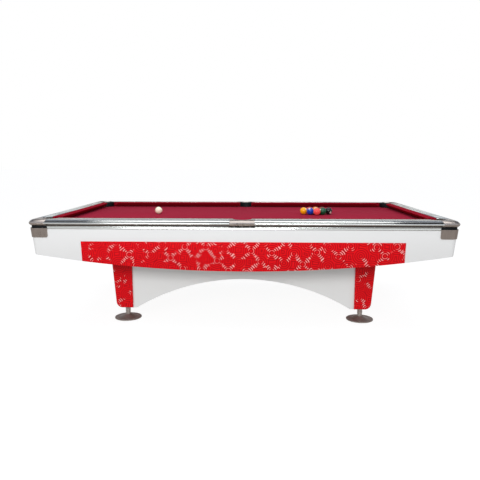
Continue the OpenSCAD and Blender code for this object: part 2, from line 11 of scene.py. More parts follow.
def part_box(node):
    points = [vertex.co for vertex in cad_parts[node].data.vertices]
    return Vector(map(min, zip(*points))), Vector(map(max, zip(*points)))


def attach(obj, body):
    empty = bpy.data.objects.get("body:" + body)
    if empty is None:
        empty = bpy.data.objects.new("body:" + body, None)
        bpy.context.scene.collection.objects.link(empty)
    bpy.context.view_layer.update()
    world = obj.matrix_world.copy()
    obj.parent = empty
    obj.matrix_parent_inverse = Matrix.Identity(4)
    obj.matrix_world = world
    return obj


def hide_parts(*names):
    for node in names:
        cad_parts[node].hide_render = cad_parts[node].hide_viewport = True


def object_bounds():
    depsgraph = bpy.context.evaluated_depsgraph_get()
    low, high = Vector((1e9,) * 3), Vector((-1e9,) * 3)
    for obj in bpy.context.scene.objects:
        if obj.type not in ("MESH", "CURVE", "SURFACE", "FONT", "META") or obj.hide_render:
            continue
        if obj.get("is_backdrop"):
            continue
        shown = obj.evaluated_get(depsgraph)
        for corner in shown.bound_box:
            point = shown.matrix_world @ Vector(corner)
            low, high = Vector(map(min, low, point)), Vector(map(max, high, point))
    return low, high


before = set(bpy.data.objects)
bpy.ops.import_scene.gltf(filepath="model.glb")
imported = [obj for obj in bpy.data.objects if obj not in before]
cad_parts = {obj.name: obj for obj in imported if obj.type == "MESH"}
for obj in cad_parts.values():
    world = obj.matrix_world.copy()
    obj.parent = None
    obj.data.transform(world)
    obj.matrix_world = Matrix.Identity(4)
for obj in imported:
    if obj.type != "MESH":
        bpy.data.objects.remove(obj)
CAD_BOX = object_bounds()

bl_info = {
    "name": "Pocket Billiard Table",
    "version": (1, 0, 0),
    "blender": (4, 5, 0),
    "location": "3D View > Sidebar > Billiard Table",
    "description": "Builds the visible pieces of a pocket billiard table around its packed frame",
    "category": "Add Mesh",
}

MM = 0.001
FLOOR_HALF = 60.0
CORNERS = {"front_left": (-1, -1), "front_right": (1, -1), "back_left": (-1, 1), "back_right": (1, 1)}
ENDS = {"left": -1, "right": 1}
SIDES = {"front": -1, "back": 1}


# ---- places read from the frame ----
def low(node):
    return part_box(node)[0]


def high(node):
    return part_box(node)[1]


BED_Z = high("bed_cloth").z
SLATE_Z = low("bed_cloth").z
TOP_Z = high("rail_cap_right").z
NOSE_X = low("cushion_right").x
NOSE_Y = low("cushion_back_right").y
CUSHION_W = high("cushion_right").x - NOSE_X
RAIL_OUT = high("rail_cap_right").x - NOSE_X
CAB_X = high("cabinet_right").x
CAB_Y = high("cabinet_back").y
CAB_TOP = high("cabinet_back").z
LEG_IN = low("leg_back_right").x
LEG_LOW = low("leg_back_right").z
BALL_R = (high("cue_ball").z - low("cue_ball").z) / 2
CUP_R = 59.5 * MM
HOLE_IN = low("pocket_liner_back_right").x + CUP_R - NOSE_X


def span_at(node, axis, value, along, reach=0.2 * MM):
    """Lowest and highest place along one axis of a node's corners that lie at a value on another."""
    places = [v.co[along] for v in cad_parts[node].data.vertices if abs(v.co[axis] - value) < reach]
    return min(places), max(places)


LOWER_ARM = CAB_X - min(abs(v.co.x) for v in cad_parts["lower_castings"].data.vertices)
JOINT = 0.5 * MM


# ---- sizes and colours that a user would change ----
def length(name, description, default):
    return bpy.props.FloatProperty(name=name, description=description, default=default, unit="LENGTH",
                                   precision=4)


def colour(name, description, default):
    return bpy.props.FloatVectorProperty(name=name, description=description, default=default, size=3,
                                         subtype="COLOR", min=0.0, max=1.0)


class TableSizes(bpy.types.PropertyGroup):
    edge: length("Board edge", "Rounding of the lacquered boards' edges", 2.0 * MM)
    metal_edge: length("Metal edge", "Rounding of the castings' and profiles' edges", 0.7 * MM)
    leg_edge: length("Leg edge", "Rounding of the legs' outer upright edges", 12.0 * MM)
    nose_r: length("Cushion nose", "Radius of the cushion's nose", 3.3 * MM)
    nose_rise: length("Nose height", "Height of the cushion nose above the bed", 36.3 * MM)
    feather: length("Cloth joint", "Depth of the joint between cushion cloth and metal rail", 1.6 * MM)
    lower_t: length("Lower casting", "Thickness of the lower corner castings", 4.5 * MM)
    lower_round: length("Lower casting corner", "Rounding of the lower castings' inner corners", 12.0 * MM)
    cab_lean: bpy.props.FloatProperty(name="Cabinet lean", description="Inward lean of the cabinet's faces",
                                      default=math.radians(5.8), subtype="ANGLE", unit="ROTATION")
    cab_round: length("Cabinet corner", "Radius of the cabinet's upright corners at the top", 45.0 * MM)
    thread_pitch: length("Thread pitch", "Rise of a levelling foot's thread in one turn", 4.0 * MM)
    thread_depth: length("Thread depth", "Height of a levelling foot's thread", 1.1 * MM)
    arc_pitch: length("Arc pitch", "Distance between the laminate's printed arcs", 14.0 * MM)
    arc_cell: length("Arc cell", "Distance between the centres of the laminate's arcs", 105.0 * MM)
    number_disc: length("Number disc", "Radius of a ball's number disc", 8.6 * MM)
    number_size: length("Number size", "Height of a ball's number", 11.5 * MM)


class TableColours(bpy.types.PropertyGroup):
    bed: colour("Bed cloth", "Burgundy worsted cloth of the bed", (0.335, 0.018, 0.043))
    cushion: colour("Cushion cloth", "Burgundy cloth of the cushions", (0.29, 0.004, 0.017))
    rail: colour("Rail metal", "Polished anodised rails and trims", (0.80, 0.83, 0.81))
    casting: colour("Castings", "Polished warm grey castings", (0.42, 0.375, 0.345))
    rubber: colour("Pocket rubber", "Black moulded pocket liners", (0.0045, 0.005, 0.0065))
    lacquer: colour("Lacquer", "White lacquer of the cabinet", (0.85, 0.85, 0.84))
    laminate: colour("Laminate", "Red ground of the patterned laminate", (0.86, 0.004, 0.009))
    laminate_arc: colour("Laminate arcs", "Darker printed arcs", (0.42, 0.001, 0.006))
    laminate_dash: colour("Laminate dashes", "Pale printed dashes", (0.93, 0.58, 0.56))
    # Painted shade: this dark timber tone stands in for the shade in the gaps under the rail caps and at
    # the pocket mouths.
    stain: colour("Stained timber", "Rail core timber darkened with painted shade", (0.085, 0.066, 0.056))
    timber: colour("Timber", "Planed timber of the hidden frame", (0.52, 0.33, 0.17))
    slate: colour("Slate", "Honed slate", (0.10, 0.105, 0.11))
    steel: colour("Steel", "Zinc plated fasteners", (0.58, 0.59, 0.60))
    foot: colour("Foot disc", "Grained cast foot discs", (0.36, 0.31, 0.285))
    stem: colour("Foot stem", "Turned steel stems", (0.60, 0.58, 0.55))
    ivory: colour("Cue ball", "Ivory of the cue ball", (0.95, 0.90, 0.70))


class TableCamera(bpy.types.PropertyGroup):
    place: bpy.props.FloatVectorProperty(name="Camera place", description="Where the camera stands",
                                         default=(0.081, -4.153, 1.192), size=3, subtype="TRANSLATION",
                                         unit="LENGTH")
    pitch: bpy.props.FloatProperty(name="Camera pitch", description="How far the camera looks down",
                                   default=math.radians(8.82), subtype="ANGLE", unit="ROTATION")
    yaw: bpy.props.FloatProperty(name="Camera yaw", description="How far the camera turns to the left",
                                 default=math.radians(1.6), subtype="ANGLE", unit="ROTATION")
    roll: bpy.props.FloatProperty(name="Camera roll", description="How far the camera leans to its side",
                                  default=math.radians(0.055), subtype="ANGLE", unit="ROTATION")
    lens: bpy.props.FloatProperty(name="Lens", description="Focal length on a 36 mm sensor", default=38.78,
                                  unit="CAMERA")


def sizes():
    return bpy.context.scene.table_sizes


def colours():
    return bpy.context.scene.table_colours


# ---- shader maths ----
class Wire:
    """A socket in a node tree that arithmetic can be done on."""

    def __init__(self, tree, socket):
        self.tree = tree
        self.socket = socket

    def node(self, kind, settings=None, out=0, **inputs):
        """Adds a node, sets its settings, then its sockets, and returns one of its outputs."""
        return add_node(self.tree, kind, settings, out, **inputs)

    def _maths(self, operation, a, b=0.0):
        return self.node("ShaderNodeMath", {"operation": operation}, _0=a, _1=b)

    def __add__(self, other):
        return self._maths("ADD", self, other)

    __radd__ = __add__

    def __sub__(self, other):
        return self._maths("SUBTRACT", self, other)

    def __rsub__(self, other):
        return self._maths("SUBTRACT", other, self)

    def __mul__(self, other):
        return self._maths("MULTIPLY", self, other)

    __rmul__ = __mul__

    def __truediv__(self, other):
        return self._maths("DIVIDE", self, other)

    def __gt__(self, other):
        return self._maths("GREATER_THAN", self, other)

    def __lt__(self, other):
        return self._maths("LESS_THAN", self, other)

    def apply(self, operation, other=0.0):
        return self._maths(operation, self, other)

    def step(self, start, end):
        """0 below start, 1 above end, and smooth between them."""
        return self.node("ShaderNodeMapRange", {"interpolation_type": "SMOOTHSTEP"}, Value=self,
                         From_Min=start, From_Max=end)

    def between(self, a, b):
        """Goes from a to b as the wire goes from 0 to 1."""
        return self * (b - a) + a


def add_node(tree, kind, settings=None, out=0, **inputs):
    node = tree.nodes.new(kind)
    for key, value in (settings or {}).items():
        if key == "stops":
            ramp = node.color_ramp
            while len(ramp.elements) < len(value):
                ramp.elements.new(0.5)
            for element, (place, tint) in zip(ramp.elements, value):
                element.position = place
                element.color = (*tint, 1.0)
        else:
            setattr(node, key, value)
    for key, value in inputs.items():
        key = key.replace("_", " ").strip()
        socket = node.inputs[int(key)] if key.isdigit() else node.inputs[key]
        if isinstance(value, Wire):
            tree.links.new(value.socket, socket)
        elif hasattr(socket.default_value, "__len__") and len(value) < len(socket.default_value):
            socket.default_value = (*value, 1.0)
        else:
            socket.default_value = value
    return Wire(tree, node.outputs[out])


class Finish:
    """A material being built: a surface shader, the coordinates and the usual textures."""

    def __init__(self, name, **uniform):
        self.material = bpy.data.materials.new(name)
        self.material.use_nodes = True
        self.tree = self.material.node_tree
        self.shader = self.tree.nodes["Principled BSDF"]
        for key, value in uniform.items():
            self.shader.inputs[key.replace("_", " ")].default_value = value
        self.place = self.add("ShaderNodeTexCoord", out=3)

    def add(self, kind, settings=None, out=0, **inputs):
        return add_node(self.tree, kind, settings, out, **inputs)

    def split(self, vector):
        parts = self.add("ShaderNodeSeparateXYZ", Vector=vector).socket.node.outputs
        return [Wire(self.tree, part) for part in parts]

    def stretched(self, x, y, z):
        """The coordinates scaled by each factor, which draws a texture out along the small ones."""
        return self.add("ShaderNodeVectorMath", {"operation": "MULTIPLY"}, _0=self.place, _1=(x, y, z))

    def noise(self, scale, detail=3.0, vector=None, rough=0.5):
        return self.add("ShaderNodeTexNoise", Vector=vector or self.place, Scale=scale, Detail=detail,
                        Roughness=rough)

    def blend(self, factor, a, b):
        node = self.tree.nodes.new("ShaderNodeMix")
        node.data_type = "RGBA"
        for socket, value in ((node.inputs[0], factor), (node.inputs[6], a), (node.inputs[7], b)):
            if isinstance(value, Wire):
                self.tree.links.new(value.socket, socket)
            else:
                socket.default_value = (*value, 1.0) if hasattr(value, "__len__") else value
        return Wire(self.tree, node.outputs[2])

    def shade(self, tint, factor, amount):
        """A colour made darker and lighter by an amount as a factor goes from 0 to 1."""
        dark = tuple(c * (1 - amount) for c in tint)
        light = tuple(min(1.0, c * (1 + amount)) for c in tint)
        return self.blend(factor, dark, light)

    def set(self, key, wire):
        self.tree.links.new(wire.socket, self.shader.inputs[key])

    def bump(self, height, distance, strength=1.0):
        self.set("Normal", self.add("ShaderNodeBump", Height=height, Distance=distance, Strength=strength))


def cloth_finish(name, tint):
    """Worsted cloth: a fine twill weave, a soft nap and a little fluff."""
    f = Finish(name, Specular_IOR_Level=0.03)
    thread = 0.9 * MM
    x, y, z = f.split(f.place)
    twill = ((x + y * 0.5 + z) * (2 * math.pi / thread)).apply("SINE") * 0.5 + 0.5
    weft = ((y - x * 0.25 - z) * (2 * math.pi / thread)).apply("SINE") * 0.5 + 0.5
    fluff = f.noise(1400.0, 2.0)
    nap = f.noise(2.4, 4.0)
    f.set("Base Color", f.shade(tint, nap * 0.6 + twill * weft * 0.25 + fluff * 0.15, 0.16))
    f.set("Roughness", fluff.between(0.82, 0.95))
    f.bump(twill * 0.4 + weft * 0.3 + fluff * 0.5, 0.12 * MM, 0.5)
    return f.material


def rail_finish(name, tint, along):
    """Polished anodised aluminium with faint drawing lines along the profile."""
    f = Finish(name, Metallic=0.95, Coat_Weight=0.15, Coat_Roughness=0.08)
    draw = [900.0, 900.0, 900.0]
    draw[along] = 2.0
    lines = f.noise(1.0, 2.0, f.stretched(*draw))
    cloud = f.noise(7.0, 3.0)
    f.set("Base Color", f.shade(tint, lines * 0.5 + cloud * 0.5, 0.06))
    f.set("Roughness", (lines * 0.5 + cloud * 0.5).between(0.12, 0.24))
    f.bump(lines, 0.01 * MM, 0.6)
    return f.material


def casting_finish(name, tint):
    """Hand-polished casting: cloudy sheen, fine polishing marks and a few pits."""
    f = Finish(name, Metallic=0.95)
    cloud = f.noise(22.0, 5.0)
    marks = f.noise(1.0, 3.0, f.stretched(110.0, 110.0, 9.0))
    pits = f.add("ShaderNodeTexVoronoi", Vector=f.place, Scale=420.0)
    pit = 1 - pits.step(0.05, 0.16)
    tone = f.shade(tint, cloud * 0.4 + marks * 0.6, 0.34)
    f.set("Base Color", f.blend(pit * 0.5, tone, tuple(c * 0.5 for c in tint)))
    f.set("Roughness", (cloud * 0.6 + marks * 0.4).between(0.20, 0.38))
    f.bump(marks * 0.4 + cloud * 0.2 - pit * 0.6, 0.05 * MM, 0.5)
    return f.material


def rubber_finish(name, tint):
    """Moulded rubber with a fine leather-like grain."""
    f = Finish(name, Specular_IOR_Level=0.14)
    grain = f.add("ShaderNodeTexVoronoi", {"feature": "DISTANCE_TO_EDGE"}, Vector=f.place, Scale=650.0)
    dust = f.noise(40.0, 4.0)
    f.set("Base Color", f.shade(tint, dust, 0.45))
    f.set("Roughness", dust.between(0.42, 0.62))
    f.bump(grain.step(0.0, 0.2), 0.08 * MM, 0.6)
    return f.material


def lacquer_finish(name, tint):
    """Sprayed lacquer over board: faint orange peel, soft waviness and fine dust nibs."""
    f = Finish(name, Coat_Weight=0.35, Coat_Roughness=0.12, Specular_IOR_Level=0.45)
    peel = f.noise(260.0, 2.0)
    wave = f.noise(5.0, 2.0)
    nib = f.add("ShaderNodeTexVoronoi", Vector=f.place, Scale=90.0).step(0.04, 0.0)
    f.set("Base Color", f.shade(tint, wave * 0.7 + peel * 0.3, 0.018))
    f.set("Roughness", (peel * 0.4 + wave * 0.6).between(0.24, 0.38))
    f.bump(peel * 0.5 + wave * 2.0 + nib * 0.3, 0.05 * MM, 0.5)
    return f.material


def laminate_finish(name, margin=None):
    """Gloss laminate printed with fans of fine arcs and short pale dashes across them.

    margin is the inner edge and the foot of a leg, beside which the print stops."""
    s, c = sizes(), colours()
    f = Finish(name, Specular_IOR_Level=0.12)
    x, y, z = f.split(f.place)
    facing = f.split(f.add("ShaderNodeNewGeometry", out=1))[0].apply("ABSOLUTE") > 0.7
    across = facing * y + (1 - facing) * x
    print_at = f.add("ShaderNodeCombineXYZ", X=across, Y=z)
    turned = f.add("ShaderNodeVectorRotate", {"rotation_type": "Z_AXIS"}, Vector=print_at,
                   Angle=math.radians(48))
    cell = f.add("ShaderNodeTexVoronoi", {"voronoi_dimensions": "2D"}, Vector=turned,
                 Scale=1 / s.arc_cell, Randomness=0.3)
    centre = Wire(f.tree, cell.socket.node.outputs["Position"])
    dx, dy, _ = f.split(f.add("ShaderNodeVectorMath", {"operation": "SUBTRACT"}, _0=turned, _1=centre))
    radius = (dx * dx + dy * dy).apply("SQRT")
    ring = (radius * (2 * math.pi / s.arc_pitch)).apply("SINE") * 0.5 + 0.5
    aside = dx.apply("ABSOLUTE").apply("MINIMUM", dy.apply("ABSOLUTE"))
    crowd = across.apply("ABSOLUTE").step(0.9, 0.15) * 0.06
    patch = (f.noise(11.0, 2.0, print_at) + crowd).step(0.47, 0.55)
    narrowest, widest = -9.0 * MM, 30.0 * MM
    wide = f.noise(42.0, 1.0, print_at).between(narrowest, widest)
    dash = ring.step(0.68, 0.9) * (aside < wide) * patch * (radius / s.arc_cell).step(0.14, 0.2)
    if margin:
        inside = (across.apply("ABSOLUTE") > margin[0]) * (z > margin[1])
        dash = dash * (facing + inside).apply("MINIMUM", 1.0)
    cloud = f.noise(6.0, 3.0)
    ground = f.blend((1 - ring) * (1 - ring), f.shade(c.laminate, cloud, 0.06), tuple(c.laminate_arc))
    f.set("Base Color", f.blend(dash * 0.9, ground, tuple(c.laminate_dash)))
    f.set("Roughness", (cloud * 0.5 + ring * 0.5).between(0.26, 0.36))
    f.bump(ring * 0.3 + dash * 0.5 + f.noise(300.0) * 0.2, 0.04 * MM, 0.4)
    return f.material


def timber_finish(name, tint, along):
    """Planed softwood: long grain bands and pores."""
    f = Finish(name, Specular_IOR_Level=0.3)
    draw = [26.0, 26.0, 26.0]
    draw[along] = 1.2
    grain = f.noise(1.0, 6.0, f.stretched(*draw), 0.65)
    band = (grain * 26.0).apply("SINE") * 0.5 + 0.5
    fine = [900.0, 900.0, 900.0]
    fine[along] = 12.0
    pores = f.noise(1.0, 2.0, f.stretched(*fine))
    f.set("Base Color", f.shade(tint, band * 0.55 + pores * 0.45, 0.32))
    f.set("Roughness", pores.between(0.55, 0.8))
    f.bump(pores * 0.7 + band * 0.3, 0.2 * MM, 0.6)
    return f.material


def slate_finish(name, tint):
    """Honed slate: grey with cleavage streaks and mineral specks."""
    f = Finish(name, Specular_IOR_Level=0.35)
    streak = f.noise(1.0, 6.0, f.stretched(5.0, 14.0, 220.0), 0.6)
    speck = f.noise(700.0, 2.0)
    f.set("Base Color", f.shade(tint, streak * 0.7 + speck * 0.3, 0.35))
    f.set("Roughness", speck.between(0.5, 0.75))
    f.bump(streak * 0.6 + speck * 0.4, 0.15 * MM, 0.5)
    return f.material


def steel_finish(name, tint, rings=0.0):
    """Plated or turned steel: small crystals, and turning rings where a height pitch is given."""
    f = Finish(name, Metallic=0.9)
    z = f.split(f.place)[2]
    crystal = f.add("ShaderNodeTexVoronoi", Vector=f.place, Scale=260.0, out=1)
    tone = f.split(crystal)[0]
    turned = (z * (2 * math.pi / rings)).apply("SINE") * 0.5 + 0.5 if rings else f.noise(500.0)
    f.set("Base Color", f.shade(tint, tone * 0.5 + turned * 0.5, 0.12))
    f.set("Roughness", (tone * 0.5 + turned * 0.5).between(0.24, 0.42))
    f.bump(turned, 0.04 * MM, 0.4)
    return f.material


def foot_finish(name, tint):
    """Grained cast foot: a speckled, cloudy skin."""
    f = Finish(name, Metallic=0.75)
    speck = f.noise(330.0, 4.0, None, 0.7)
    cloud = f.noise(38.0, 3.0)
    tone = f.shade(tint, speck * 0.65 + cloud * 0.35, 0.55)
    f.set("Base Color", tone)
    f.set("Roughness", speck.between(0.34, 0.6))
    f.bump(speck, 0.3 * MM, 0.6)
    return f.material


def inlay_finish(name):
    """Pearl inlay with a cloudy lustre."""
    f = Finish(name, Coat_Weight=0.6, Coat_Roughness=0.05)
    cloud = f.noise(420.0, 4.0)
    f.set("Base Color", f.blend(cloud, (0.62, 0.66, 0.68), (0.9, 0.88, 0.84)))
    f.set("Roughness", cloud.between(0.15, 0.35))
    f.bump(cloud, 0.02 * MM, 0.4)
    return f.material


def resin_finish(name, tint, centre, disc_way, stripe=False, dots=()):
    """Phenolic resin ball: a number disc on two sides, and a stripe or small dots on some."""
    s = sizes()
    f = Finish(name, Coat_Weight=0.3, Coat_Roughness=0.03, Specular_IOR_Level=0.3)
    out = f.add("ShaderNodeVectorMath", {"operation": "SUBTRACT"}, _0=f.place, _1=tuple(centre))

    def cap(way, reach, both=True):
        """1 within a reach of the axis along a direction, on both sides or one."""
        rise = f.add("ShaderNodeVectorMath", {"operation": "DOT_PRODUCT"}, out=1, _0=out, _1=tuple(way))
        near = (rise.apply("ABSOLUTE") if both else rise) / BALL_R
        edge = math.cos(reach / BALL_R)
        return near.step(edge - 0.004, edge + 0.004)

    swirl = f.noise(55.0, 4.0)
    white, dot_red, dot_r = (0.86, 0.83, 0.72), (0.6, 0.01, 0.01), 2.6 * MM
    base = f.shade(tint, swirl, 0.07)
    if stripe:
        pole = Vector(disc_way).cross(Vector((0.2, 0.4, 1.0))).normalized()
        base = f.blend(cap(pole, 0.62 * BALL_R), base, white)
    if disc_way:
        base = f.blend(cap(disc_way, s.number_disc), base, white)
    for way in dots:
        base = f.blend(cap(Vector(way).normalized(), dot_r, False), base, dot_red)
    f.set("Base Color", base)
    f.set("Roughness", f.noise(160.0, 3.0).between(0.06, 0.16))
    f.bump(f.noise(90.0, 2.0), 0.01 * MM, 0.3)
    return f.material


def ink_finish(name):
    """Black number inlay."""
    f = Finish(name, Coat_Weight=0.8, Coat_Roughness=0.03)
    grain = f.noise(900.0, 2.0)
    f.set("Base Color", f.blend(grain, (0.008, 0.008, 0.009), (0.02, 0.02, 0.022)))
    f.set("Roughness", grain.between(0.1, 0.2))
    return f.material


# ---- mesh making ----
def merged(node):
    """A copy of a CAD node's mesh with its loose triangles joined and its flat faces made whole."""
    shape = bmesh.new()
    shape.from_mesh(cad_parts[node].data)
    bmesh.ops.remove_doubles(shape, verts=shape.verts, dist=0.002 * MM)
    bmesh.ops.dissolve_limit(shape, angle_limit=math.radians(0.05), verts=shape.verts, edges=shape.edges)
    return shape


def skin(shape, rings, caps=True):
    """Faces between closed rings of places, and over the first and last ring where there are caps."""
    rows = [[shape.verts.new(place) for place in ring] for ring in rings]
    count = len(rows[0])
    for a, b in zip(rows, rows[1:]):
        for k in range(count):
            m = (k + 1) % count
            shape.faces.new((a[k], a[m], b[m], b[k]))
    if caps:
        shape.faces.new(rows[0])
        shape.faces.new(rows[-1][::-1])
    return rows


def lathe(shape, profile, centre, steps=64):
    """Turns a profile of (radius, height) about an upright axis; a radius of 0 closes on the axis."""
    rings = []
    for radius, height in profile:
        if radius == 0:
            rings.append([shape.verts.new(centre + Vector((0, 0, height)))])
            continue
        turn = [2 * math.pi * k / steps for k in range(steps)]
        rings.append([shape.verts.new(centre + Vector((radius * math.cos(t), radius * math.sin(t), height)))
                      for t in turn])
    for a, b in zip(rings, rings[1:]):
        for k in range(steps):
            m = (k + 1) % steps
            if len(a) == 1:
                shape.faces.new((a[0], b[k], b[m]))
            elif len(b) == 1:
                shape.faces.new((a[k], b[0], a[m]))
            else:
                shape.faces.new((a[k], b[k], b[m], a[m]))


def arc(centre, radius, start, end, steps):
    """Places along a round stretch, its angles in degrees."""
    turn = [math.radians(start + (end - start) * k / steps) for k in range(steps + 1)]
    return [(centre[0] + radius * math.cos(t), centre[1] + radius * math.sin(t)) for t in turn]


def applied(thing):
    """Turns a piece and its modifiers into a plain mesh."""
    view = bpy.context.evaluated_depsgraph_get()
    plain = bpy.data.meshes.new_from_object(thing.evaluated_get(view))
    thing.modifiers.clear()
    thing.data = plain


def add_piece(name, shape, finish, body="table", replaces=(), slot=None, edge=0.0, clamp=True, steps=2):
    """Makes a piece from a shape, rounds its edges, smooths it and lets it ride on its body."""
    mesh = bpy.data.meshes.new(name)
    shape.to_mesh(mesh)
    shape.free()
    for part in finish if isinstance(finish, (list, tuple)) else [finish]:
        mesh.materials.append(part)
    thing = bpy.data.objects.new(name, mesh)
    bpy.context.scene.collection.objects.link(thing)
    if edge:
        bevel = thing.modifiers.new("edges", "BEVEL")
        bevel.width = edge
        bevel.segments = steps
        bevel.use_clamp_overlap = clamp
        bevel.limit_method = "WEIGHT" if "bevel_weight_edge" in mesh.attributes else "ANGLE"
        bevel.angle_limit = math.radians(32)
        applied(thing)
    thing.data.shade_smooth()
    thing.data.set_sharp_from_angle(angle=math.radians(36))
    thing.data.name = name
    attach(thing, body)
    if replaces:
        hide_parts(*replaces)
    return thing


def finished_copies(prefix, nodes, finish, slot, edge, **edges):
    """Pieces that keep the CAD's shapes, with their edges rounded and a finish."""
    for node in nodes:
        add_piece(prefix + node, merged(node), finish, replaces=[node], slot=slot, edge=edge, **edges)


def dress(node, finish):
    """Gives a CAD node that keeps its own shape a finish."""
    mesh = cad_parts[node].data
    mesh.materials.clear()
    mesh.materials.append(finish)


# ---- node trees for what repeats ----
def new_tree(name, inputs):
    """A geometry tree with named inputs, its group input node and a way to find an input's identifier."""
    tree = bpy.data.node_groups.new(name, "GeometryNodeTree")
    tree.interface.new_socket("Geometry", in_out="OUTPUT", socket_type="NodeSocketGeometry")
    keys = {}
    for label, kind in inputs.items():
        keys[label] = tree.interface.new_socket(label, in_out="INPUT", socket_type=kind).identifier
    given = tree.nodes.new("NodeGroupInput")
    wires = {label: Wire(tree, given.outputs[label]) for label in inputs}
    return tree, keys, wires


def end_tree(tree, geometry, finish):
    """Ends a geometry tree in real geometry with its finish set."""
    real = add_node(tree, "GeometryNodeRealizeInstances", Geometry=geometry)
    done = add_node(tree, "GeometryNodeSetMaterial", Geometry=real, Material=finish)
    tree.links.new(done.socket, tree.nodes.new("NodeGroupOutput").inputs[0])


def row_tree():
    """Copies of one small piece in a straight row."""
    tree, keys, given = new_tree("Row Of Pieces", {
        "Piece": "NodeSocketObject", "Start": "NodeSocketVector", "Step": "NodeSocketVector",
        "Count": "NodeSocketInt", "Turn": "NodeSocketVector", "Finish": "NodeSocketMaterial"})
    line = add_node(tree, "GeometryNodeMeshLine", {"mode": "OFFSET"}, Count=given["Count"])
    for label, value in (("Start Location", given["Start"]), ("Offset", given["Step"])):
        tree.links.new(value.socket, line.socket.node.inputs[label])
    piece = add_node(tree, "GeometryNodeObjectInfo", out=4, Object=given["Piece"])
    turn = add_node(tree, "FunctionNodeEulerToRotation", Euler=given["Turn"])
    row = add_node(tree, "GeometryNodeInstanceOnPoints", Points=line, Instance=piece, Rotation=turn)
    end_tree(tree, row, given["Finish"])
    return tree, keys


def thread_tree():
    """A round ridge that winds up a stem."""
    tree, keys, given = new_tree("Screw Thread", {
        "Radius": "NodeSocketFloat", "Pitch": "NodeSocketFloat", "Height": "NodeSocketFloat",
        "Ridge": "NodeSocketFloat", "Foot": "NodeSocketVector", "Finish": "NodeSocketMaterial"})
    turns = add_node(tree, "ShaderNodeMath", {"operation": "DIVIDE"}, _0=given["Height"], _1=given["Pitch"])
    helix = add_node(tree, "GeometryNodeCurveSpiral", Resolution=40, Rotations=turns,
                     Start_Radius=given["Radius"], End_Radius=given["Radius"], Height=given["Height"])
    ridge = add_node(tree, "GeometryNodeCurvePrimitiveCircle", Resolution=6, Radius=given["Ridge"])
    wound = add_node(tree, "GeometryNodeCurveToMesh", Curve=helix, Profile_Curve=ridge, Fill_Caps=True)
    lifted = add_node(tree, "GeometryNodeTransform", Geometry=wound, Translation=given["Foot"])
    end_tree(tree, lifted, given["Finish"])
    return tree, keys


def grown(tree, keys, values):
    """The mesh that a geometry tree makes with these values."""
    holder = bpy.data.objects.new("grown", bpy.data.meshes.new("grown"))
    bpy.context.scene.collection.objects.link(holder)
    modifier = holder.modifiers.new("grow", "NODES")
    modifier.node_group = tree
    for label, value in values.items():
        modifier[keys[label]] = value
    applied(holder)
    mesh = holder.data
    bpy.data.objects.remove(holder)
    return mesh


def seed_piece(name, build):
    """A small piece that rows are made of, kept out of the scene."""
    shape = bmesh.new()
    build(shape)
    bmesh.ops.recalc_face_normals(shape, faces=shape.faces)
    mesh = bpy.data.meshes.new(name)
    shape.to_mesh(mesh)
    shape.free()
    return bpy.data.objects.new(name, mesh)


# ---- materials shared by several pieces ----
FINISHES = {}


def finish(name, make, *values):
    """A finish by name, made the first time that it is asked for."""
    if name not in FINISHES:
        FINISHES[name] = make(name, *values)
    return FINISHES[name]


def casting_metal():
    return finish("polished_casting", casting_finish, colours().casting)


def rail_metal(along):
    return finish("rail_metal_" + "xy"[along], rail_finish, colours().rail, along)


def white_lacquer():
    return finish("white_lacquer", lacquer_finish, colours().lacquer)


def zinc():
    return finish("zinc_steel", steel_finish, colours().steel)


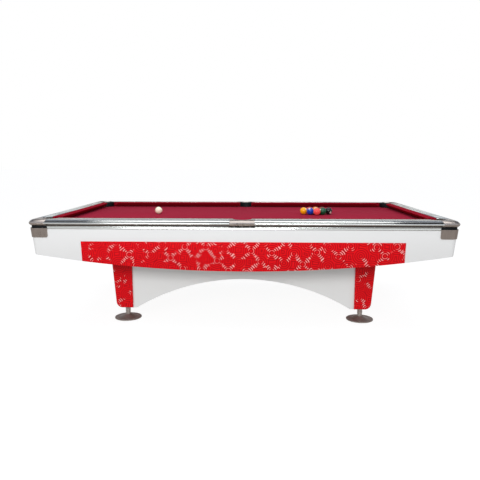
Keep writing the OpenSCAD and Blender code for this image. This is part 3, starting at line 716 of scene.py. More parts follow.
# ---- operators ----
class StageOperator(bpy.types.Operator):
    """Add the pale floor, the studio lights and the camera"""

    bl_idname = "billiard.stage"
    bl_label = "Stage"

    # name: place, turn in degrees, size, power in watts
    lamps = {
        "ceiling_light": ((0.0, -0.4, 4.2), (0, 0, 0), (5.0, 3.2), 90),
        "front_light": ((-1.2, -7.0, 3.0), (68, 0, -10), (5.0, 1.6), 190),
    }

    def execute(self, context):
        scene = context.scene
        scene.view_settings.view_transform = "Standard"
        self.floor(scene)
        self.sky(scene)
        for name, values in self.lamps.items():
            self.lamp(scene, name, *values)
        self.camera(scene)
        return {"FINISHED"}

    def floor(self, scene):
        """A white floor that glows a little, so that shadows on it stay faint."""
        shape = bmesh.new()
        bmesh.ops.create_grid(shape, x_segments=1, y_segments=1, size=FLOOR_HALF)
        mesh = bpy.data.meshes.new("floor")
        shape.to_mesh(mesh)
        shape.free()
        f = Finish("pale_floor", Specular_IOR_Level=0.0)
        tint = f.shade((0.16, 0.16, 0.16), f.noise(0.8), 0.02)
        f.set("Base Color", tint)
        f.set("Roughness", f.noise(3.0).between(0.8, 0.9))
        seen, mirrored = f.add("ShaderNodeLightPath", out=0), f.add("ShaderNodeLightPath", out=3)
        unseen = f.blend(mirrored, (0.42, 0.42, 0.42), (0.34, 0.30, 0.27))
        glow = f.blend(seen, unseen, (0.92, 0.92, 0.92))
        f.set("Emission Color", glow)
        f.shader.inputs["Emission Strength"].default_value = 1.0
        mesh.materials.append(f.material)
        floor = bpy.data.objects.new("floor", mesh)
        scene.collection.objects.link(floor)
        floor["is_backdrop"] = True

    def sky(self, scene):
        """White behind the table, and a bright room with a grey band for the metal to mirror."""
        world = bpy.data.worlds.new("studio")
        world.use_nodes = True
        scene.world = world
        tree = world.node_tree
        tree.nodes.clear()
        way = add_node(tree, "ShaderNodeTexCoord", out=0)
        parts = add_node(tree, "ShaderNodeSeparateXYZ", Vector=way).socket.node.outputs
        rise, ahead = Wire(tree, parts[2]), Wire(tree, parts[1])
        far = add_node(tree, "ShaderNodeValToRGB", {"stops": [
            (0.0, (0.30, 0.27, 0.25)), (0.10, (0.66, 0.67, 0.66)), (0.30, (0.80, 0.82, 0.84)),
            (0.45, (0.20, 0.22, 0.28)), (0.90, (0.06, 0.06, 0.07)), (1.0, (0.60, 0.62, 0.64))]}, Fac=rise)
        near = add_node(tree, "ShaderNodeValToRGB", {"stops": [
            (0.0, (0.30, 0.29, 0.28)), (0.22, (0.55, 0.55, 0.55)), (0.42, (1.1, 1.12, 1.15)),
            (0.75, (0.42, 0.45, 0.55)), (1.0, (0.60, 0.62, 0.64))]}, Fac=rise)
        sides = tree.nodes.new("ShaderNodeMix")
        sides.data_type = "RGBA"
        for socket, wire in ((sides.inputs[0], ahead.step(-0.1, 0.1)), (sides.inputs[6], near),
                             (sides.inputs[7], far)):
            tree.links.new(wire.socket, socket)
        band = Wire(tree, sides.outputs[2])
        seen = add_node(tree, "ShaderNodeLightPath", out=0)
        room = add_node(tree, "ShaderNodeBackground", Color=band, Strength=1.0)
        back = add_node(tree, "ShaderNodeBackground", Color=(1.0, 1.0, 1.0), Strength=1.0)
        both = add_node(tree, "ShaderNodeMixShader", _0=seen, _1=room, _2=back)
        tree.links.new(both.socket, tree.nodes.new("ShaderNodeOutputWorld").inputs[0])

    def lamp(self, scene, name, place, turn, size, power):
        light = bpy.data.lights.new(name, "AREA")
        light.shape = "RECTANGLE"
        light.size, light.size_y = size
        light.energy = power
        lamp = bpy.data.objects.new(name, light)
        lamp.location = place
        lamp.rotation_euler = [math.radians(angle) for angle in turn]
        scene.collection.objects.link(lamp)

    def camera(self, scene):
        view = scene.table_camera
        lens = bpy.data.cameras.new("camera")
        lens.lens = view.lens
        lens.sensor_width = 36.0
        lens.clip_end = 200.0
        camera = bpy.data.objects.new("camera", lens)
        turn = Matrix.Rotation(view.yaw, 3, "Z") @ Matrix.Rotation(math.pi / 2 - view.pitch, 3, "X")
        camera.rotation_euler = (turn @ Matrix.Rotation(view.roll, 3, "Z")).to_euler()
        camera.location = view.place
        scene.collection.objects.link(camera)
        scene.camera = camera


class HiddenFrameOperator(bpy.types.Operator):
    """Finish the slate, the timber frame and the fasteners that keep their own shapes"""

    bl_idname = "billiard.hidden_frame"
    bl_label = "Slate and frame"

    def execute(self, context):
        c = colours()
        slate = finish("honed_slate", slate_finish, c.slate)
        timber = finish("planed_timber", timber_finish, c.timber, 0)
        for node in ("slate_left", "slate_middle", "slate_right"):
            dress(node, slate)
        # The rail cores keep a timber grain, but their dark tone is painted shade for the gaps under the
        # rail caps and at the pocket mouths.
        dress("rail_cores", finish("stained_timber", timber_finish, c.stain, 0))
        dress("frame_beams", timber)
        for node in ("rail_bolts", "leg_bolts", "foot_sockets"):
            dress(node, zinc())
        return {"FINISHED"}


class BedClothOperator(bpy.types.Operator):
    """Stretch the worsted cloth over the slates, its edges rolled at the pocket holes"""

    bl_idname = "billiard.bed_cloth"
    bl_label = "Bed cloth"

    def execute(self, context):
        cloth = finish("bed_cloth", cloth_finish, colours().bed)
        shape = merged("bed_cloth")
        thing = add_piece("stretched_bed_cloth", shape, cloth, replaces=["bed_cloth"], slot="bed_cloth",
                          edge=0.35 * MM, clamp=False)
        return {"FINISHED"}


class CushionOperator(bpy.types.Operator):
    """Make the six cloth-covered cushions with rounded noses and undercut faces"""

    bl_idname = "billiard.cushions"
    bl_label = "Cushions"

    corner_cut = math.radians(38)
    side_cut = math.radians(76)
    back_z = 4.0 * MM
    hole_r = CUP_R + 1.1 * MM

    def execute(self, context):
        mouth_x = span_at("cushion_back_right", 1, NOSE_Y, 0)
        mouth_y = span_at("cushion_right", 0, NOSE_X, 1)
        for name, (sx, sy) in CORNERS.items():
            self.cushion(
                "cushion_" + name,
                lambda d: mouth_x[0] - d / math.tan(self.side_cut),
                lambda d: self.short_of_hole(mouth_x[1] + d / math.tan(self.corner_cut), d, NOSE_X),
                lambda along, d, z, sx=sx, sy=sy: Vector((sx * along, sy * (NOSE_Y + d), z)))
        for name, sx in ENDS.items():
            self.cushion(
                "cushion_" + name,
                lambda d: -self.short_of_hole(mouth_y[1] + d / math.tan(self.corner_cut), d, NOSE_Y),
                lambda d: self.short_of_hole(mouth_y[1] + d / math.tan(self.corner_cut), d, NOSE_Y),
                lambda along, d, z, sx=sx: Vector((sx * (NOSE_X + d), along, z)))
        return {"FINISHED"}

    def short_of_hole(self, along, d, nose):
        """Stops the cushion's back end at the round cut of the corner pocket."""
        aside = d - HOLE_IN
        if abs(aside) >= self.hole_r:
            return along
        return min(along, nose + HOLE_IN - math.sqrt(self.hole_r ** 2 - aside * aside))

    def profile(self):
        """Upper and lower lines of the cushion's section, from the nose to the back."""
        s = sizes()
        nose_z = BED_Z + s.nose_rise
        upper = arc((s.nose_r, nose_z), s.nose_r, 180, 104, 8)
        lower = arc((s.nose_r, nose_z), s.nose_r, 180, 246, 8)
        back = CUSHION_W - 2.2 * MM
        crown = TOP_Z - 0.3 * MM
        foot = (CUSHION_W - 12.0 * MM, BED_Z + self.back_z)
        over, under = upper[-1], lower[-1]
        runs = 10
        for k in range(1, runs + 1):
            t = k / runs
            upper.append((over[0] + (back - over[0]) * t,
                          over[1] + (crown - over[1]) * math.sin(t * math.pi / 2)))
            slope = min(1.0, t / 0.8)
            level = max(0.0, t - 0.8) / 0.2
            lower.append((under[0] + (foot[0] - under[0]) * slope + (back - foot[0]) * level,
                          under[1] + (foot[1] - under[1]) * slope))
        upper += [(CUSHION_W - 0.9 * MM, TOP_Z - 0.6 * MM), (CUSHION_W - 0.2 * MM, TOP_Z - s.feather)]
        lower += [(CUSHION_W - 0.9 * MM, BED_Z + self.back_z), (CUSHION_W - 0.2 * MM, BED_Z + self.back_z)]
        return upper, lower

    def cushion(self, node, start, end, place):
        upper, lower = self.profile()
        ring = upper + lower[:0:-1]
        shape = bmesh.new()
        stations = 48
        rings = []
        for i in range(stations + 1):
            t = i / stations
            rings.append([place(start(d) + (end(d) - start(d)) * t, d, z) for d, z in ring])
        rows = skin(shape, rings, caps=False)
        count = len(upper)
        total = len(ring)
        for row in (rows[0], rows[-1]):
            for k in range(1, count - 1):
                shape.faces.new((row[k], row[k + 1], row[total - k - 1], row[total - k]))
            shape.faces.new((row[0], row[1], row[total - 1]))
        bmesh.ops.recalc_face_normals(shape, faces=shape.faces)
        cloth = finish("cushion_cloth", cloth_finish, colours().cushion)
        thing = add_piece("cloth_" + node, shape, cloth, replaces=[node], slot="cushion_cloth")


class RailCapOperator(bpy.types.Operator):
    """Finish the six metal rail caps with their beads"""

    bl_idname = "billiard.rail_caps"
    bl_label = "Rail caps"

    groove_in, groove_out = 13.4 * MM, 7.6 * MM
    groove_top, groove_floor = 11.8 * MM, 17.2 * MM
    bead_r, bead_drop = 9.0 * MM, 24.0 * MM
    slimming, sag = 1.5 * MM, 1.0 * MM

    def execute(self, context):
        # The black rubber finish on the rail caps' groove faces is painted shade that darkens the groove.
        strip = finish("groove_strip", rubber_finish, colours().rubber)
        for name in [*CORNERS, *ENDS]:
            node = "rail_cap_" + name
            out = 0 if name in ENDS else 1
            shape = merged(node)
            nose = NOSE_X if name in ENDS else NOSE_Y
            self.line_groove(shape, out, nose)
            self.open_groove(shape, out, nose)
            add_piece("polished_" + node, shape, (rail_metal(1 - out), strip), replaces=[node],
                      slot="rail_metal", edge=sizes().metal_edge)
        return {"FINISHED"}

    def line_groove(self, shape, out, nose):
        """Marks the faces of the groove between the shoulder and the bead for the black rubber finish,
        which is painted shade for the groove.
        """
        for face in shape.faces:
            middle = face.calc_center_median()
            inside = self.groove_out < nose + RAIL_OUT - abs(middle[out]) < self.groove_in
            inside = inside and self.groove_top < TOP_Z - middle.z < self.groove_floor
            if inside and max(abs(face.normal.z), abs(face.normal[out])) > 0.99:
                face.material_index = 1

    def open_groove(self, shape, out, nose):
        """Draws the bead a little smaller about its outermost line, which opens the groove above it."""
        middle, height = nose + RAIL_OUT - self.bead_r, TOP_Z - self.bead_drop
        share = (self.bead_r - self.slimming) / self.bead_r
        for vertex in shape.verts:
            aside = abs(vertex.co[out]) - middle
            rise = vertex.co.z - height
            if abs(math.hypot(aside, rise) - self.bead_r) < 0.06 * MM:
                vertex.co[out] = math.copysign(middle + self.slimming + aside * share, vertex.co[out])
                vertex.co.z = height - self.sag + rise * share


class CastingOperator(bpy.types.Operator):
    """Finish the corner and side pocket castings"""

    bl_idname = "billiard.castings"
    bl_label = "Pocket castings"

    def execute(self, context):
        nodes = ["corner_casting_" + name for name in CORNERS] + ["side_casting_" + name for name in SIDES]
        finished_copies("polished_", nodes, casting_metal(), "cast_metal", sizes().metal_edge)
        return {"FINISHED"}


class LinerOperator(bpy.types.Operator):
    """Finish the moulded pocket liners"""

    bl_idname = "billiard.liners"
    bl_label = "Pocket liners"

    def execute(self, context):
        rubber = finish("pocket_rubber", rubber_finish, colours().rubber)
        nodes = ["pocket_liner_" + name for name in [*CORNERS, *SIDES]]
        finished_copies("moulded_", nodes, rubber, "pocket_rubber", sizes().metal_edge)
        return {"FINISHED"}


class LowerCastingOperator(bpy.types.Operator):
    """Make the four castings that wrap the cabinet's corners, each with rounded lower ends"""

    bl_idname = "billiard.lower_castings"
    bl_label = "Lower castings"

    def execute(self, context):
        shape = bmesh.new()
        for sx, sy in CORNERS.values():
            self.casting(shape, sx, sy)
        bmesh.ops.recalc_face_normals(shape, faces=shape.faces)
        add_piece("polished_lower_castings", shape, casting_metal(), replaces=["lower_castings"],
                  slot="cast_metal", edge=1.1 * MM, steps=3)
        return {"FINISHED"}

    def casting(self, shape, sx, sy):
        s = sizes()
        bottom, top = low("lower_castings").z, high("lower_castings").z
        flat = LOWER_ARM - s.cab_round
        turn_steps, flat_steps, rows = 14, 14, 12
        path = [(-flat + flat * k * k / flat_steps ** 2, 0.0) for k in range(flat_steps)]
        path += [(0.0, math.pi / 2 * k / turn_steps) for k in range(turn_steps + 1)]
        path += [(flat - flat * (flat_steps - k) ** 2 / flat_steps ** 2, math.pi / 2)
                 for k in range(1, flat_steps + 1)]

        def place(run, turn, z, out):
            reach = s.cab_round - (CAB_TOP - z) * math.tan(s.cab_lean) + out
            x = CAB_X - s.cab_round + math.sin(turn) * reach
            y = CAB_Y - s.cab_round + math.cos(turn) * reach
            if turn == 0.0:
                x += run
            elif run > 0.0:
                y -= run
            return Vector((sx * x, sy * y, z))

        rings = []
        for run, turn in path:
            inward = flat - abs(run)
            r = s.lower_round
            lift = r - math.sqrt(max(0.0, r * r - (r - inward) ** 2)) if run and inward < r else 0.0
            heights = [bottom + lift + (top - bottom - lift) * k / rows for k in range(rows + 1)]
            ring = [place(run, turn, z, s.lower_t) for z in heights]
            ring += [place(run, turn, z, 0.0) for z in reversed(heights)]
            rings.append(ring)
        skin(shape, rings)


class TrimOperator(bpy.types.Operator):
    """Make the metal profiles between the cabinet and the rails, each with two rounded bands"""

    bl_idname = "billiard.trims"
    bl_label = "Apron trims"

    depth = 18.0 * MM
    split_rise = 13.0 * MM
    under_slate = 0.4 * MM

    def execute(self, context):
        out_x, out_y = high("apron_trims").x - NOSE_X, high("apron_trims").y - NOSE_Y
        recess = high("side_casting_back").x
        end_x = CAB_X - LOWER_ARM - JOINT
        end_y = CAB_Y - LOWER_ARM - JOINT
        shape = bmesh.new()
        for sy in SIDES.values():
            def long_way(along, d, z, sy=sy):
                return Vector((along, sy * (NOSE_Y + d), z))
            self.band(shape, self.lower_band(out_y), -end_x, end_x, long_way)
            self.band(shape, self.upper_band(out_y), -end_x, -recess, long_way)
            self.band(shape, self.upper_band(out_y), recess, end_x, long_way)
        for sx in ENDS.values():
            def end_way(along, d, z, sx=sx):
                return Vector((sx * (NOSE_X + d), along, z))
            self.band(shape, self.lower_band(out_x), -end_y, end_y, end_way)
            self.band(shape, self.upper_band(out_x), -end_y, end_y, end_way)
        bmesh.ops.recalc_face_normals(shape, faces=shape.faces)
        add_piece("polished_apron_trims", shape, rail_metal(0), replaces=["apron_trims"], slot="rail_metal",
                  edge=0.4 * MM)
        return {"FINISHED"}

    def lower_band(self, out):
        inner = CAB_Y - NOSE_Y - self.depth
        groove_z = CAB_TOP + self.split_rise
        return [(inner, CAB_TOP), *arc((out - 4.5 * MM, CAB_TOP + 5.0 * MM), 3.2 * MM, -60, 30, 6),
                (out - 2.6 * MM, groove_z - 1.5 * MM), (out - 4.0 * MM, groove_z), (inner, groove_z)]

    def upper_band(self, out):
        inner = CAB_Y - NOSE_Y - self.depth
        groove_z = CAB_TOP + self.split_rise
        r = 3.4 * MM
        top = SLATE_Z - self.under_slate
        return [(inner, groove_z), (out - 6.0 * MM, groove_z), (out - 6.0 * MM, groove_z + 1.2 * MM),
                *arc((out - r, top - r), r, -90, 90, 12), (inner, top)]

    def band(self, shape, section, start, end, place):
        skin(shape, [[place(along, d, z) for d, z in section] for along in (start, end)])


class CabinetOperator(bpy.types.Operator):
    """Finish the lacquered cabinet sides and ends"""

    bl_idname = "billiard.cabinet"
    bl_label = "Cabinet"

    def execute(self, context):
        nodes = ["cabinet_" + name for name in [*SIDES, *ENDS]]
        finished_copies("lacquered_", nodes, white_lacquer(), "white_lacquer", sizes().edge, steps=3,
                        clamp=False)
        return {"FINISHED"}


class LaminateOperator(bpy.types.Operator):
    """Finish the patterned panels on the cabinet's sides"""

    bl_idname = "billiard.panels"
    bl_label = "Patterned panels"

    panel_edge = 0.6 * MM

    def execute(self, context):
        printed = finish("patterned_laminate", laminate_finish)
        nodes = ["patterned_panel_" + name for name in SIDES]
        finished_copies("printed_", nodes, printed, "red_pattern", self.panel_edge)
        return {"FINISHED"}


class LegOperator(bpy.types.Operator):
    """Finish the four patterned legs, their outer and lower edges well rounded"""

    bl_idname = "billiard.legs"
    bl_label = "Legs"

    margin = 11.0 * MM
    steps = 5

    def execute(self, context):
        printed = finish("leg_laminate", laminate_finish, (LEG_IN + self.margin, LEG_LOW + self.margin))
        for name in CORNERS:
            node = "leg_" + name
            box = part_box(node)
            shape = merged(node)
            for way, level in ((-1, box[0].y), (1, box[1].y)):
                flat = [face for face in shape.faces if abs(face.normal.y) > 0.9
                        and all(abs(v.co.y - level) < 0.1 * MM for v in face.verts)]
                if len(flat) != 1:
                    raise RuntimeError(f"{node} has {len(flat)} faces where one was meant")
                self.round_over(shape, flat[0], way, box[1].z)
            bmesh.ops.recalc_face_normals(shape, faces=shape.faces)
            add_piece("laminated_" + node, shape, printed, replaces=[node], slot="red_pattern")
        return {"FINISHED"}

    def round_over(self, shape, face, way, top):
        """Draws the outer and lower sides of an upright face in, as they come round to it."""
        r = sizes().leg_edge
        loop = list(face.verts)
        shape.faces.remove(face)
        places = [(v.co.x, v.co.z) for v in loop]
        level = loop[0].co.y
        for vertex in loop:
            vertex.co.y = level - way * r
        rows = [loop]
        for step in range(1, self.steps + 1):
            turn = math.pi / 2 * step / self.steps
            ring = self.drawn_in(places, r * (1 - math.cos(turn)), top)
            y = level - way * r * (1 - math.sin(turn))
            rows.append([shape.verts.new((x, y, z)) for x, z in ring])
        for a, b in zip(rows, rows[1:]):
            for k in range(len(a)):
                m = (k + 1) % len(a)
                shape.faces.new((a[k], a[m], b[m], b[k]))
        shape.faces.new(rows[-1])

    def drawn_in(self, places, inset, top):
        """The outline with its sides moved in, apart from its inner side and its top."""
        middle = Vector((sum(x for x, z in places), sum(z for x, z in places))) / len(places)
        lines = []
        for k, (x, z) in enumerate(places):
            ahead = places[(k + 1) % len(places)]
            along = Vector((ahead[0] - x, ahead[1] - z)).normalized()
            normal = Vector((-along.y, along.x))
            start = Vector((x, z))
            if normal.dot(middle - start) < 0:
                normal = -normal
            kept = min(abs(x), abs(ahead[0])) < LEG_IN + 1.0 * MM and abs(along.x) < 0.1
            kept = kept or min(z, ahead[1]) > top - 1.0 * MM
            lines.append((normal, normal.dot(start) + (0.0 if kept else inset)))
        moved = []
        for k, (x, z) in enumerate(places):
            (n1, d1), (n2, d2) = lines[k - 1], lines[k]
            cross = n1.x * n2.y - n1.y * n2.x
            if abs(cross) < 0.02:
                shift = (d1 - n1.dot(Vector((x, z))) + d2 - n2.dot(Vector((x, z)))) / 2
                moved.append((x + n1.x * shift, z + n1.y * shift))
            else:
                moved.append(((d1 * n2.y - d2 * n1.y) / cross, (n1.x * d2 - n2.x * d1) / cross))
        return moved


class ArchOperator(bpy.types.Operator):
    """Finish the arched panels between the legs and the panels across the ends"""

    bl_idname = "billiard.arches"
    bl_label = "Arched panels"

    def execute(self, context):
        nodes = ["arch_panel_" + name for name in SIDES] + ["end_panels"]
        finished_copies("lacquered_", nodes, white_lacquer(), "white_lacquer", sizes().edge, steps=3,
                        clamp=False)
        return {"FINISHED"}


class FootOperator(bpy.types.Operator):
    """Make the levelling feet: grained discs and threaded stems with spanner flats"""

    bl_idname = "billiard.feet"
    bl_label = "Levelling feet"

    def execute(self, context):
        s, c = sizes(), colours()
        cast = finish("foot_casting", foot_finish, c.foot)
        turned = finish("turned_steel", steel_finish, c.stem, 1.7 * MM)
        tree, keys = thread_tree()
        for name in CORNERS:
            disc, stem = "foot_disc_" + name, "foot_stem_" + name
            a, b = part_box(disc)
            centre = Vector(((a.x + b.x) / 2, (a.y + b.y) / 2, 0.0))
            shape = bmesh.new()
            lathe(shape, self.disc_profile((b.x - a.x) / 2, b.z), centre, 72)
            bmesh.ops.recalc_face_normals(shape, faces=shape.faces)
            add_piece("cast_" + disc, shape, cast, "disc_" + name, [disc], "foot_cast")
            self.stem(name, stem, centre, s, turned, tree, keys)
        return {"FINISHED"}

    def disc_profile(self, radius, hub_z):
        rim, lip = 8.0 * MM, 1.6 * MM
        pin, pin_drop = 10.3 * MM, 15.8 * MM
        hub = 25.0 * MM
        cone = 0.6 * radius
        return [(0, 0), (radius - lip, 0), *arc((radius - lip, lip), lip, -90, 0, 4)[1:],
                *arc((radius - lip, rim - lip), lip, 0, 90, 4), (radius - 6.0 * MM, rim),
                (radius - 7.5 * MM, rim - 1.2 * MM), (cone + 6.0 * MM, rim - 1.2 * MM),
                (cone - 2.0 * MM, rim + 1.0 * MM), (hub + 9.0 * MM, hub_z - 8.0 * MM),
                (hub + 2.0 * MM, hub_z - 2.4 * MM), (hub - 1.0 * MM, hub_z), (pin, hub_z),
                (pin, hub_z - pin_drop), (0, hub_z - pin_drop)]

    def stem(self, name, node, centre, s, turned, tree, keys):
        a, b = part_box(node)
        radius = (b.x - a.x) / 2
        pin = 10.0 * MM
        rest_gap, plain_run = 0.3 * MM, 15.0 * MM
        foot = high("foot_disc_" + name).z + rest_gap
        thread_z = foot + plain_run
        core = radius - s.thread_depth
        shape = bmesh.new()
        lathe(shape, [(0, a.z), (pin, a.z), (pin, foot), (radius - 0.6 * MM, foot),
                      (radius, foot + 0.6 * MM), (radius, thread_z), (core, thread_z + 0.8 * MM),
                      (core, b.z - 1.0 * MM), (core - 1.0 * MM, b.z), (0, b.z)], centre, 48)
        flat = radius - 3.0 * MM
        for vertex in shape.verts:
            if foot - 0.01 * MM < vertex.co.z < thread_z + 0.01 * MM:
                vertex.co.x = centre.x + max(-flat, min(flat, vertex.co.x - centre.x))
        bmesh.ops.recalc_face_normals(shape, faces=shape.faces)
        winding = grown(tree, keys, {
            "Radius": core, "Pitch": s.thread_pitch, "Height": b.z - thread_z - 2 * s.thread_pitch,
            "Ridge": s.thread_depth, "Foot": (centre.x, centre.y, thread_z + 0.7 * s.thread_pitch),
            "Finish": turned})
        shape.from_mesh(winding)
        add_piece("threaded_" + node, shape, turned, "stem_" + name, [node], "foot_steel")


class FastenerOperator(bpy.types.Operator):
    """Set rows of sights in the rails and rows of cross-slot screws in the trims"""

    bl_idname = "billiard.fasteners"
    bl_label = "Sights and screws"

    def execute(self, context):
        tree, keys = row_tree()
        self.sights(tree, keys)
        self.screws(tree, keys)
        return {"FINISHED"}

    def rows(self, name, tree, keys, piece, metal, rows, node, slot):
        shape = bmesh.new()
        for start, step, count, turn in rows:
            shape.from_mesh(grown(tree, keys, {"Piece": piece, "Start": start, "Step": step,
                                               "Count": count, "Turn": turn, "Finish": metal}))
        add_piece(name, shape, metal, replaces=[node], slot=slot)

    def sights(self, tree, keys):
        radius = 4.9 * MM
        thick = TOP_Z - low("sights").z
        diamond = NOSE_X / 4
        out_x = high("sights").x - radius
        out_y = high("sights").y - radius
        rounding = 0.25 * MM
        outline = [(0, -thick), (radius, -thick), (radius, -rounding), (radius - rounding, 0), (0, 0)]
        dot = seed_piece("sight", lambda shape: lathe(shape, outline, Vector(), 24))
        rows = []
        for side in (-1, 1):
            for start in (-3 * diamond, diamond):
                rows.append(((start, side * out_y, TOP_Z), (diamond, 0, 0), 3, (0, 0, 0)))
            rows.append(((side * out_x, -diamond, TOP_Z), (0, diamond, 0), 3, (0, 0, 0)))
        self.rows("pearl_sights", tree, keys, dot, finish("pearl_inlay", inlay_finish), rows, "sights",
                  "sight_inlay")

    def screws(self, tree, keys):
        screw = seed_piece("screw", self.screw)
        first, pitch, count = 135.0 * MM, 365.0 * MM, 4
        side = 52.0 * MM
        z = (low("trim_screws").z + high("trim_screws").z) / 2
        head = 1.2 * MM
        rows = []
        for sy in SIDES.values():
            turn = (-sy * math.pi / 2, 0, 0)
            out = sy * (high("trim_screws").y - head - 0.6 * MM)
            for sx in (-1, 1):
                rows.append(((sx * first, out, z), (sx * pitch, 0, 0), count, turn))
            rows.append(((-side, sy * CAB_Y, z), (side, 0, 0), 3, turn))
        self.rows("cross_slot_screws", tree, keys, screw, zinc(), rows, "trim_screws", "zinc_steel")

    def screw(self, shape):
        """A pan head with a cross slot, its shank along -Z from the origin."""
        shank, head, top, slot, half = 2.0 * MM, 3.1 * MM, 1.2 * MM, 1.7 * MM, 0.45 * MM
        cross = [(slot, -half), (slot, half), (half, half), (half, slot), (-half, slot), (-half, half),
                 (-slot, half), (-slot, -half), (-half, -half), (-half, -slot), (half, -slot),
                 (half, -half)]
        turns = [math.atan2(y, x) for x, y in cross]

        def ring(radius, z):
            return [Vector((radius * math.cos(t), radius * math.sin(t), z)) for t in turns]

        rings = [ring(shank, -9.0 * MM), ring(shank, 0), ring(head, 0), ring(head, 0.5 * MM),
                 ring(0.78 * head, top)]
        rings.append([Vector((x, y, top)) for x, y in cross])
        rings.append([Vector((x, y, top - 0.7 * MM)) for x, y in cross])
        skin(shape, rings)


def number_solid(shape, number, centre, way):
    """A thin inlaid number whose face follows a ball."""
    s = sizes()
    text = bpy.data.curves.new("number", "FONT")
    text.body = str(number)
    text.size = s.number_size
    text.align_x = "CENTER"
    text.align_y = "CENTER"
    text.extrude = 0.3 * MM
    text.resolution_u = 4
    proud, sunk = 0.03 * MM, 0.5 * MM
    holder = bpy.data.objects.new("number", text)
    bpy.context.scene.collection.objects.link(holder)
    view = bpy.context.evaluated_depsgraph_get()
    mesh = bpy.data.meshes.new_from_object(holder.evaluated_get(view))
    bpy.data.objects.remove(holder)
    part = bmesh.new()
    part.from_mesh(mesh)
    bmesh.ops.remove_doubles(part, verts=part.verts, dist=0.001 * MM)
    bmesh.ops.triangulate(part, faces=part.faces)
    bmesh.ops.subdivide_edges(part, edges=[e for e in part.edges if e.calc_length() > 2.0 * MM], cuts=3)
    bmesh.ops.triangulate(part, faces=part.faces)
    side = Vector((0.1, 0.0, 1.0)).cross(way).normalized()
    rise = way.cross(side).normalized()
    spread_x = [v.co.x for v in part.verts]
    spread_y = [v.co.y for v in part.verts]
    mid_x = (min(spread_x) + max(spread_x)) / 2
    mid_y = (min(spread_y) + max(spread_y)) / 2
    for vertex in part.verts:
        flat = side * (vertex.co.x - mid_x) + rise * (vertex.co.y - mid_y)
        reach = BALL_R + (proud if vertex.co.z > 0 else -sunk)
        vertex.co = centre + (way * BALL_R + flat).normalized() * reach
    for face in part.faces:
        face.material_index = 1
    bmesh.ops.recalc_face_normals(part, faces=part.faces)
    made = bpy.data.meshes.new("number")
    part.to_mesh(made)
    part.free()
    shape.from_mesh(made)


def ball_shape(centre):
    shape = bmesh.new()
    bmesh.ops.create_uvsphere(shape, u_segments=64, v_segments=40, radius=BALL_R,
                              matrix=Matrix.Translation(centre))
    return shape


class CueBallOperator(bpy.types.Operator):
    """Make the ivory cue ball with its small red dots"""

    bl_idname = "billiard.cue_ball"
    bl_label = "Cue ball"

    def execute(self, context):
        centre = (low("cue_ball") + high("cue_ball")) / 2
        dots = [(-0.15, -0.75, -0.60), (0.80, -0.58, 0.12), (0.15, 0.75, 0.60), (-0.80, 0.58, -0.12),
                (-0.55, -0.2, 0.8), (0.55, 0.2, -0.8)]
        resin = finish("ivory_resin", resin_finish, colours().ivory, centre, None, False, dots)
        add_piece("ivory_cue_ball", ball_shape(centre), resin, "cue_ball", ["cue_ball"], "cue_ball_resin")
        return {"FINISHED"}


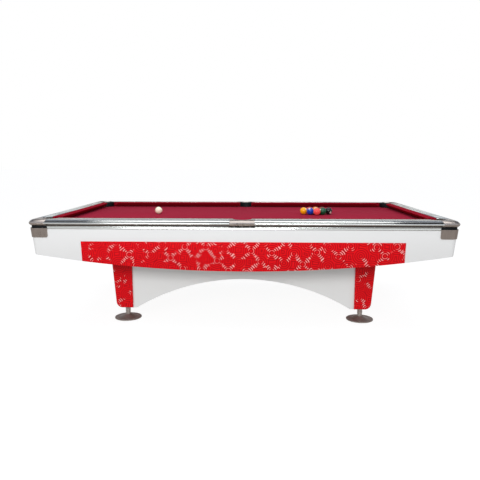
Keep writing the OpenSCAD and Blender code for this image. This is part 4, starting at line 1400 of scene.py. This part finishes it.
class RackOperator(bpy.types.Operator):
    """Make the nine numbered balls of the diamond rack"""

    bl_idname = "billiard.rack"
    bl_label = "Racked balls"

    # number: row, place across in half pitches, colour, way of the number disc
    balls = {
        1: (0, 0, (1.0, 0.42, 0.003), (0.66, -0.50, 0.56)),
        2: (1, -1, (0.002, 0.045, 0.45), (0.30, 0.55, -0.78)),
        3: (1, 1, (0.72, 0.060, 0.025), (-0.50, 0.30, 0.80)),
        4: (2, -2, (0.95, 0.085, 0.080), (-0.95, -0.05, -0.20)),
        9: (2, 0, (0.88, 0.42, 0.010), (-0.25, -0.45, 0.85)),
        5: (2, 2, (0.85, 0.18, 0.010), (0.20, 0.80, 0.50)),
        6: (3, -1, (0.002, 0.085, 0.035), (-0.80, -0.35, 0.42)),
        7: (3, 1, (0.26, 0.060, 0.025), (-0.40, 0.40, 0.80)),
        8: (4, 0, (0.006, 0.006, 0.008), (0.45, -0.80, -0.36)),
    }

    def execute(self, context):
        a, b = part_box("object_balls")
        row_step = (b.x - a.x - 2 * BALL_R) / 4
        half_pitch = (b.y - a.y - 2 * BALL_R) / 4
        ink = finish("number_ink", ink_finish)
        for number, (row, across, tint, way) in self.balls.items():
            centre = Vector((a.x + BALL_R + row * row_step, across * half_pitch, a.z + BALL_R))
            way = Vector(way).normalized()
            resin = finish(f"resin_{number}", resin_finish, tint, centre, way, number == 9)
            shape = ball_shape(centre)
            for side in (1, -1):
                number_solid(shape, number, centre, way * side)
            add_piece(f"numbered_ball_{number}", shape, (resin, ink), "object_balls", ["object_balls"],
                      "ball_resin")
        return {"FINISHED"}


STEPS = [StageOperator, HiddenFrameOperator, BedClothOperator, CushionOperator, RailCapOperator,
         CastingOperator, LinerOperator, LowerCastingOperator, TrimOperator, CabinetOperator,
         LaminateOperator, LegOperator, ArchOperator, FootOperator, FastenerOperator, CueBallOperator,
         RackOperator]


class TablePanel(bpy.types.Panel):
    """Lists the steps that build the table"""

    bl_idname = "VIEW3D_PT_billiard_table"
    bl_label = "Billiard Table"
    bl_space_type = "VIEW_3D"
    bl_region_type = "UI"
    bl_category = "Billiard Table"

    def draw(self, context):
        for step in STEPS:
            self.layout.operator(step.bl_idname)
        for group in ("table_sizes", "table_colours", "table_camera"):
            values = getattr(context.scene, group)
            box = self.layout.box()
            for key in values.__annotations__:
                box.prop(values, key)


CLASSES = [TableSizes, TableColours, TableCamera, *STEPS, TablePanel]


def register():
    for kind in CLASSES:
        bpy.utils.register_class(kind)
    bpy.types.Scene.table_sizes = bpy.props.PointerProperty(type=TableSizes)
    bpy.types.Scene.table_colours = bpy.props.PointerProperty(type=TableColours)
    bpy.types.Scene.table_camera = bpy.props.PointerProperty(type=TableCamera)


def unregister():
    for group in ("table_sizes", "table_colours", "table_camera"):
        delattr(bpy.types.Scene, group)
    for kind in reversed(CLASSES):
        bpy.utils.unregister_class(kind)


def plain(box):
    return [[float(number) for number in corner] for corner in box]


def main():
    register()
    for step in STEPS:
        group, name = step.bl_idname.split(".")
        getattr(getattr(bpy.ops, group), name)()
    {"cad": plain(CAD_BOX), "visual": plain(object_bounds())}


if __name__ == "__main__":
    main()
